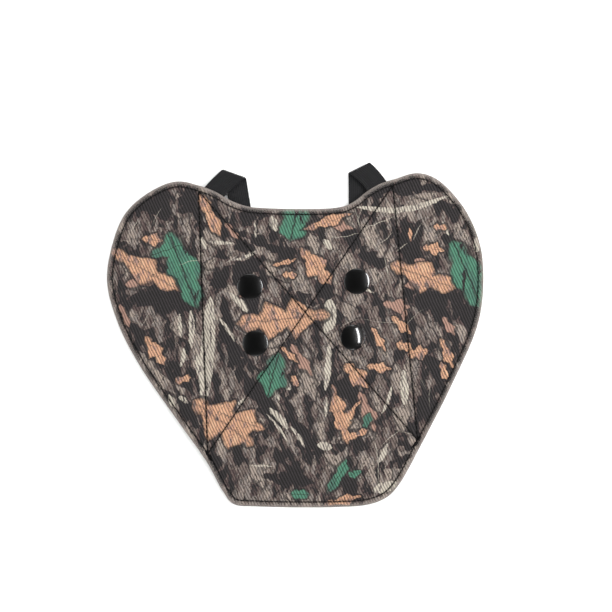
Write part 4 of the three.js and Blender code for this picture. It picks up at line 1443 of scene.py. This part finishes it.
def ribbon(side):
    """The whole elastic of one strap, folded at its crease: points, faces and coordinates."""
    runs, route, way = strap_course(side)
    crease, axis = np.array(STRAP_CREASES[side]), crease_axis(side)
    normal = np.array([-axis[1], axis[0]])
    normal *= np.sign(normal[1])
    turn = (SEAM_Z - RUN_Z) / 2
    middle_z = (SEAM_Z + RUN_Z) / 2
    ribs = sizes().elastic_ribs
    columns = ribs * POINTS_PER_RIB
    u = np.linspace(-0.5, 0.5, columns + 1) * STRAP_WIDTH / MM
    swell = np.abs(np.sin(np.linspace(0, math.pi * ribs, columns + 1)))
    half = STRAP_THICKNESS / 2 - RIB_DEPTH * (1 - swell)
    half[[0, -1]] = STRAP_EDGE
    bend = math.pi * turn
    points, place = [], []
    for layer in (1, -1):
        for middle, ahead, run in zip(route, way, runs):
            for k, aside in enumerate(u):
                flat = middle + np.array([-ahead[1], ahead[0]]) * aside - crease
                past = float(flat @ normal)
                lift_off = layer * half[k]
                if past <= 0:
                    level, z = past, SEAM_Z + lift_off
                elif past < bend:
                    angle = past / turn
                    level = (turn + lift_off) * math.sin(angle)
                    z = middle_z + (turn + lift_off) * math.cos(angle)
                else:
                    level, z = bend - past, RUN_Z - lift_off
                at = crease + axis * float(flat @ axis) + normal * level + OFFSET
                points.append((at[0], at[1], z))
                place.append((aside, run, 0))
    faces = tape_faces(len(runs), columns)
    return np.array(points) * MM, faces, np.array(place), float(runs[-1]) * MM, crease


# ------------------------------------------------------------------ operators


VIEW_CENTRE = np.array([4.1, 14.27])  # the pattern point in the middle of the view
VIEW_DISTANCE = 1.2
VIEW_WIDTH = 0.3672
VIEW_ROLL = -2
FLOOR_CORNERS = [(-2.4, -2.4, 0), (2.4, -2.4, 0), (2.4, 2.4, 0), (-2.4, 2.4, 0)]
LIGHTS = [  # name, place, size, power, and whether gloss shows it
    ("right_strip", (0.95, 0.12, 0.85), (1.15, 0.18), 14, True),
    ("left_strip", (-1.1, 0.1, 0.7), (1.3, 0.25), 9, True),
    ("top_bank", (0.2, 1.5, 1.05), (1.6, 0.5), 7, True),
    ("front_bank", (0.1, -1.5, 1.05), (1.6, 0.5), 6, True),
    ("overhead", (0.25, 0.2, 1.7), (1.6, 1.6), 30, False),
]


class MASK_OT_stage(bpy.types.Operator):
    """Sets the camera, the pale floor and the soft lights"""

    bl_idname = "mask.stage"
    bl_label = "Stage"

    def execute(self, context):
        scene = context.scene
        scene.view_settings.view_transform = "Standard"
        camera = bpy.data.objects.new("camera", bpy.data.cameras.new("camera"))
        scene.collection.objects.link(camera)
        scene.camera = camera
        target = np.append(VIEW_CENTRE + OFFSET, 6) * MM
        camera.location = (target[0], target[1], target[2] + VIEW_DISTANCE)
        camera.rotation_euler = (0, 0, math.radians(VIEW_ROLL))
        camera.data.sensor_width = 36
        camera.data.lens = 36 * VIEW_DISTANCE / VIEW_WIDTH
        floor = new_piece("floor", np.array(FLOOR_CORNERS), [(0, 1, 2, 3)], "Pale floor")
        for name, place, size, power, shown in LIGHTS:
            light = bpy.data.lights.new(name, "AREA")
            light.shape = "RECTANGLE"
            light.size, light.size_y = size
            light.energy = power
            lamp = bpy.data.objects.new(name, light)
            lamp.location = place
            lamp.visible_glossy = shown
            lamp.rotation_euler = (-Vector(place)).to_track_quat("-Z", "Y").to_euler()
            scene.collection.objects.link(lamp)
        set_world(scene)
        return {"FINISHED"}


def set_world(scene):
    """A pale surround to look at, but a dim one for light and reflections."""
    world = bpy.data.worlds.new("surround")
    world.use_nodes = True
    scene.world = world
    tree = Tree(world.node_tree)
    background = world.node_tree.nodes["Background"]
    background.inputs["Color"].default_value = (1, 1, 1, 1)
    seen = tree.add("LightPath").outputs["Is Camera Ray"]
    tree.put(background.inputs["Strength"], tree.math("MULTIPLY_ADD", seen, 0.88, 0.035))


class MASK_OT_fill_pockets(bpy.types.Operator):
    """Draws the three pockets flat and fills them by a cloth simulation"""

    bl_idname = "mask.fill_pockets"
    bl_label = "Fill the pockets"

    def execute(self, context):
        for name in POCKETS:
            SHAPES[name] = Pocket(name)
        return {"FINISHED"}


class MASK_OT_front_cloth(bpy.types.Operator):
    """Lays the printed cloth over each pocket"""

    bl_idname = "mask.front_cloth"
    bl_label = "Printed cloth"

    def execute(self, context):
        for name, shape in pockets().items():
            inner = np.maximum(shape.front - sizes().cloth / MM, shape.middle + 0.04)
            label = "printed_cloth_" + name
            piece = shape.shell(label, shape.front, inner, shape.side, "Printed twill", "camo_cloth")
            join_body(piece, name)
            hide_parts("front_cloth_" + name)
            shape.cut_size()
            shape.area()
        return {"FINISHED"}


class MASK_OT_lining(bpy.types.Operator):
    """Lays the plain lining behind each pocket"""

    bl_idname = "mask.lining"
    bl_label = "Lining"

    def execute(self, context):
        for name, shape in pockets().items():
            inner = np.minimum(shape.back + sizes().lining / MM, shape.middle - 0.04)
            label, side = "lining_" + name + "_sewn", shape.back_side
            piece = shape.shell(label, shape.back, inner, side, "Lining twill", "lining_cloth", True)
            join_body(piece, name)
            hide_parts("lining_" + name)
            shape.cut_size()
            shape.area()
        return {"FINISHED"}


class MASK_OT_wadding(bpy.types.Operator):
    """Puts the cotton wadding into each pocket, inside its seams"""

    bl_idname = "mask.wadding"
    bl_label = "Wadding"

    def execute(self, context):
        for name, shape in pockets().items():
            piece = wadding(name, shape)
            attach(piece, name)
            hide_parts("padding_" + name)
        return {"FINISHED"}


PAD_GAP = 0.12  # between the wadding and the cloth on either side
PAD_EDGE = 0.1  # half the thickness of the wadding's edge


def wadding(name, shape):
    """The part of a pocket's grid inside its seams, as a closed pad that tapers to its edge."""
    room = np.minimum(shape.near["edge"] - STITCH_INSET, shape.near["fold"])
    keep = (room[shape.triangles] > 1.4).all(1)
    triangles = largest_patch(shape.triangles[keep])
    used, compact = np.unique(triangles, return_inverse=True)
    triangles = compact.reshape(-1, 3)
    taper = smooth(room[used], 1.2, 4.5)
    middle = (shape.front[used] + shape.back[used]) / 2
    under_cloth = shape.front[used] - sizes().cloth / MM - PAD_GAP
    over_lining = shape.back[used] + sizes().lining / MM + PAD_GAP
    top = middle + PAD_EDGE + (under_cloth - middle - PAD_EDGE) * taper
    bottom = middle - PAD_EDGE + (over_lining - middle + PAD_EDGE) * taper
    flat = shape.flat[used]
    points = np.concatenate([placed(flat, top), placed(flat, bottom)])
    faces = closed(triangles, border_loop(triangles), len(used))
    stored = {"pattern": both_faces(flat)}
    return new_piece("wadding_" + name, points, faces, "Cotton wadding", stored)


def largest_patch(triangles):
    """The largest group of triangles that share edges."""
    parent = {}

    def root(i):
        while parent[i] != i:
            parent[i] = parent[parent[i]]
            i = parent[i]
        return i

    for face in triangles.tolist():
        for i in face:
            parent.setdefault(i, i)
        for i in face[1:]:
            parent[root(i)] = root(face[0])
    groups = np.array([root(face[0]) for face in triangles.tolist()])
    names, counts = np.unique(groups, return_counts=True)
    return triangles[groups == names[counts.argmax()]]


class MASK_OT_edge_stitching(bpy.types.Operator):
    """Sews the line of stitches round the edge, with a knot at the foot of each diagonal"""

    bl_idname = "mask.edge_stitching"
    bl_label = "Edge stitching"

    def execute(self, context):
        knots = [(FOLD_ENDS[side][0], seed) for seed, side in enumerate(SIDES)]
        for name, inside in POCKETS.items():
            for run in stretches(STITCH_LOOP, inside):
                label = name if name != "centre" else ("neck" if run[:, 1].mean() > 0 else "hem")
                pairs = stitches_along(run)
                if label == "hem":
                    for at, seed in knots:
                        near = min(pairs, key=lambda pair: np.linalg.norm(pair[0] - at))
                        way = (near[1] - near[0]) / np.linalg.norm(near[1] - near[0])
                        toward = way if (near[0] - at) @ way > 0 else -way
                        pairs += backstitch(at + toward * 2.0, way, 12, seed)
                sew("edge_thread_" + label, name, pairs, ["edge_stitch_" + label])
        return {"FINISHED"}


class MASK_OT_fold_stitching(bpy.types.Operator):
    """Sews the two lines that the wings fold on"""

    bl_idname = "mask.fold_stitching"
    bl_label = "Fold stitching"

    def execute(self, context):
        for side in SIDES:
            foot, head = FOLD_ENDS[side]
            pairs = stitches_along(np.array([foot, head]))
            sew("fold_thread_" + side, "centre", pairs, ["fold_stitch_" + side])
        return {"FINISHED"}


class MASK_OT_cross_stitching(bpy.types.Operator):
    """Sews the two diagonals that quilt the centre"""

    bl_idname = "mask.cross_stitching"
    bl_label = "Diagonal stitching"

    def execute(self, context):
        pairs = [pair for line in DIAGONALS for pair in stitches_along(line)]
        sew("cross_thread", "centre", pairs, ["cross_stitch"])
        return {"FINISHED"}


class MASK_OT_snaps(bpy.types.Operator):
    """Presses the four snap caps onto the front and their sockets behind"""

    bl_idname = "mask.snaps"
    bl_label = "Snap caps and sockets"

    def execute(self, context):
        socket = rounded_corners(SOCKET_PROFILE, 0.3)
        for spot, centre in SNAPS.items():
            at = np.array(centre) + OFFSET
            lean = sizes().lean if spot == "lower_right" else 0.0
            turned_piece("cap_" + spot, cap_profile(), at, "snap_cap_" + spot, "centre", lean)
            turned_piece("socket_" + spot, socket, at, "snap_socket_" + spot, "centre")
        return {"FINISHED"}


class MASK_OT_straps(bpy.types.Operator):
    """Folds the two elastic straps behind the panel and snaps them on"""

    bl_idname = "mask.straps"
    bl_label = "Elastic straps"

    def execute(self, context):
        for side in SIDES:
            points, faces, place, total, crease = ribbon(side)
            piece = new_piece("elastic_" + side, points, faces, "Ribbed elastic", {"strip": place})
            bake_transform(piece)
            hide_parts("strap_tail_" + side, "strap_run_" + side)
            at = np.array(SNAPS["upper_" + side]) + OFFSET
            body = side + "_strap"
            stud = rounded_corners(STUD_PROFILE, 0.2)
            cap = rounded_corners(STRAP_CAP_PROFILE, 0.3)
            turned_piece("stud_" + side, stud, at, "strap_stud_" + side, body)
            turned_piece("strap_button_" + side, cap, at, "strap_cap_" + side, body)
        return {"FINISHED"}


class MASK_PT_build(bpy.types.Panel):
    """Lists the steps that build the mask, with its sizes and colours"""

    bl_idname = "MASK_PT_build"
    bl_label = "Face mask"
    bl_space_type = "VIEW_3D"
    bl_region_type = "UI"
    bl_category = "Mask"

    def draw(self, context):
        for step in STEPS:
            self.layout.operator(step.bl_idname)
        for group in (context.scene.mask_sizes, context.scene.mask_colours):
            box = self.layout.box()
            for name in group.__annotations__:
                box.prop(group, name)


STEPS = (
    MASK_OT_stage, MASK_OT_fill_pockets, MASK_OT_front_cloth, MASK_OT_lining, MASK_OT_wadding,
    MASK_OT_edge_stitching, MASK_OT_fold_stitching, MASK_OT_cross_stitching, MASK_OT_snaps, MASK_OT_straps,
)
CLASSES = (MaskSizes, MaskColours, *STEPS, MASK_PT_build)


def register():
    for each in CLASSES:
        bpy.utils.register_class(each)
    bpy.types.Scene.mask_sizes = PointerProperty(type=MaskSizes)
    bpy.types.Scene.mask_colours = PointerProperty(type=MaskColours)


def unregister():
    del bpy.types.Scene.mask_colours
    del bpy.types.Scene.mask_sizes
    for each in reversed(CLASSES):
        bpy.utils.unregister_class(each)


def main():
    register()
    for step in STEPS:
        group, name = step.bl_idname.split(".")
        getattr(getattr(bpy.ops, group), name)()


if __name__ == "__main__":
    main()
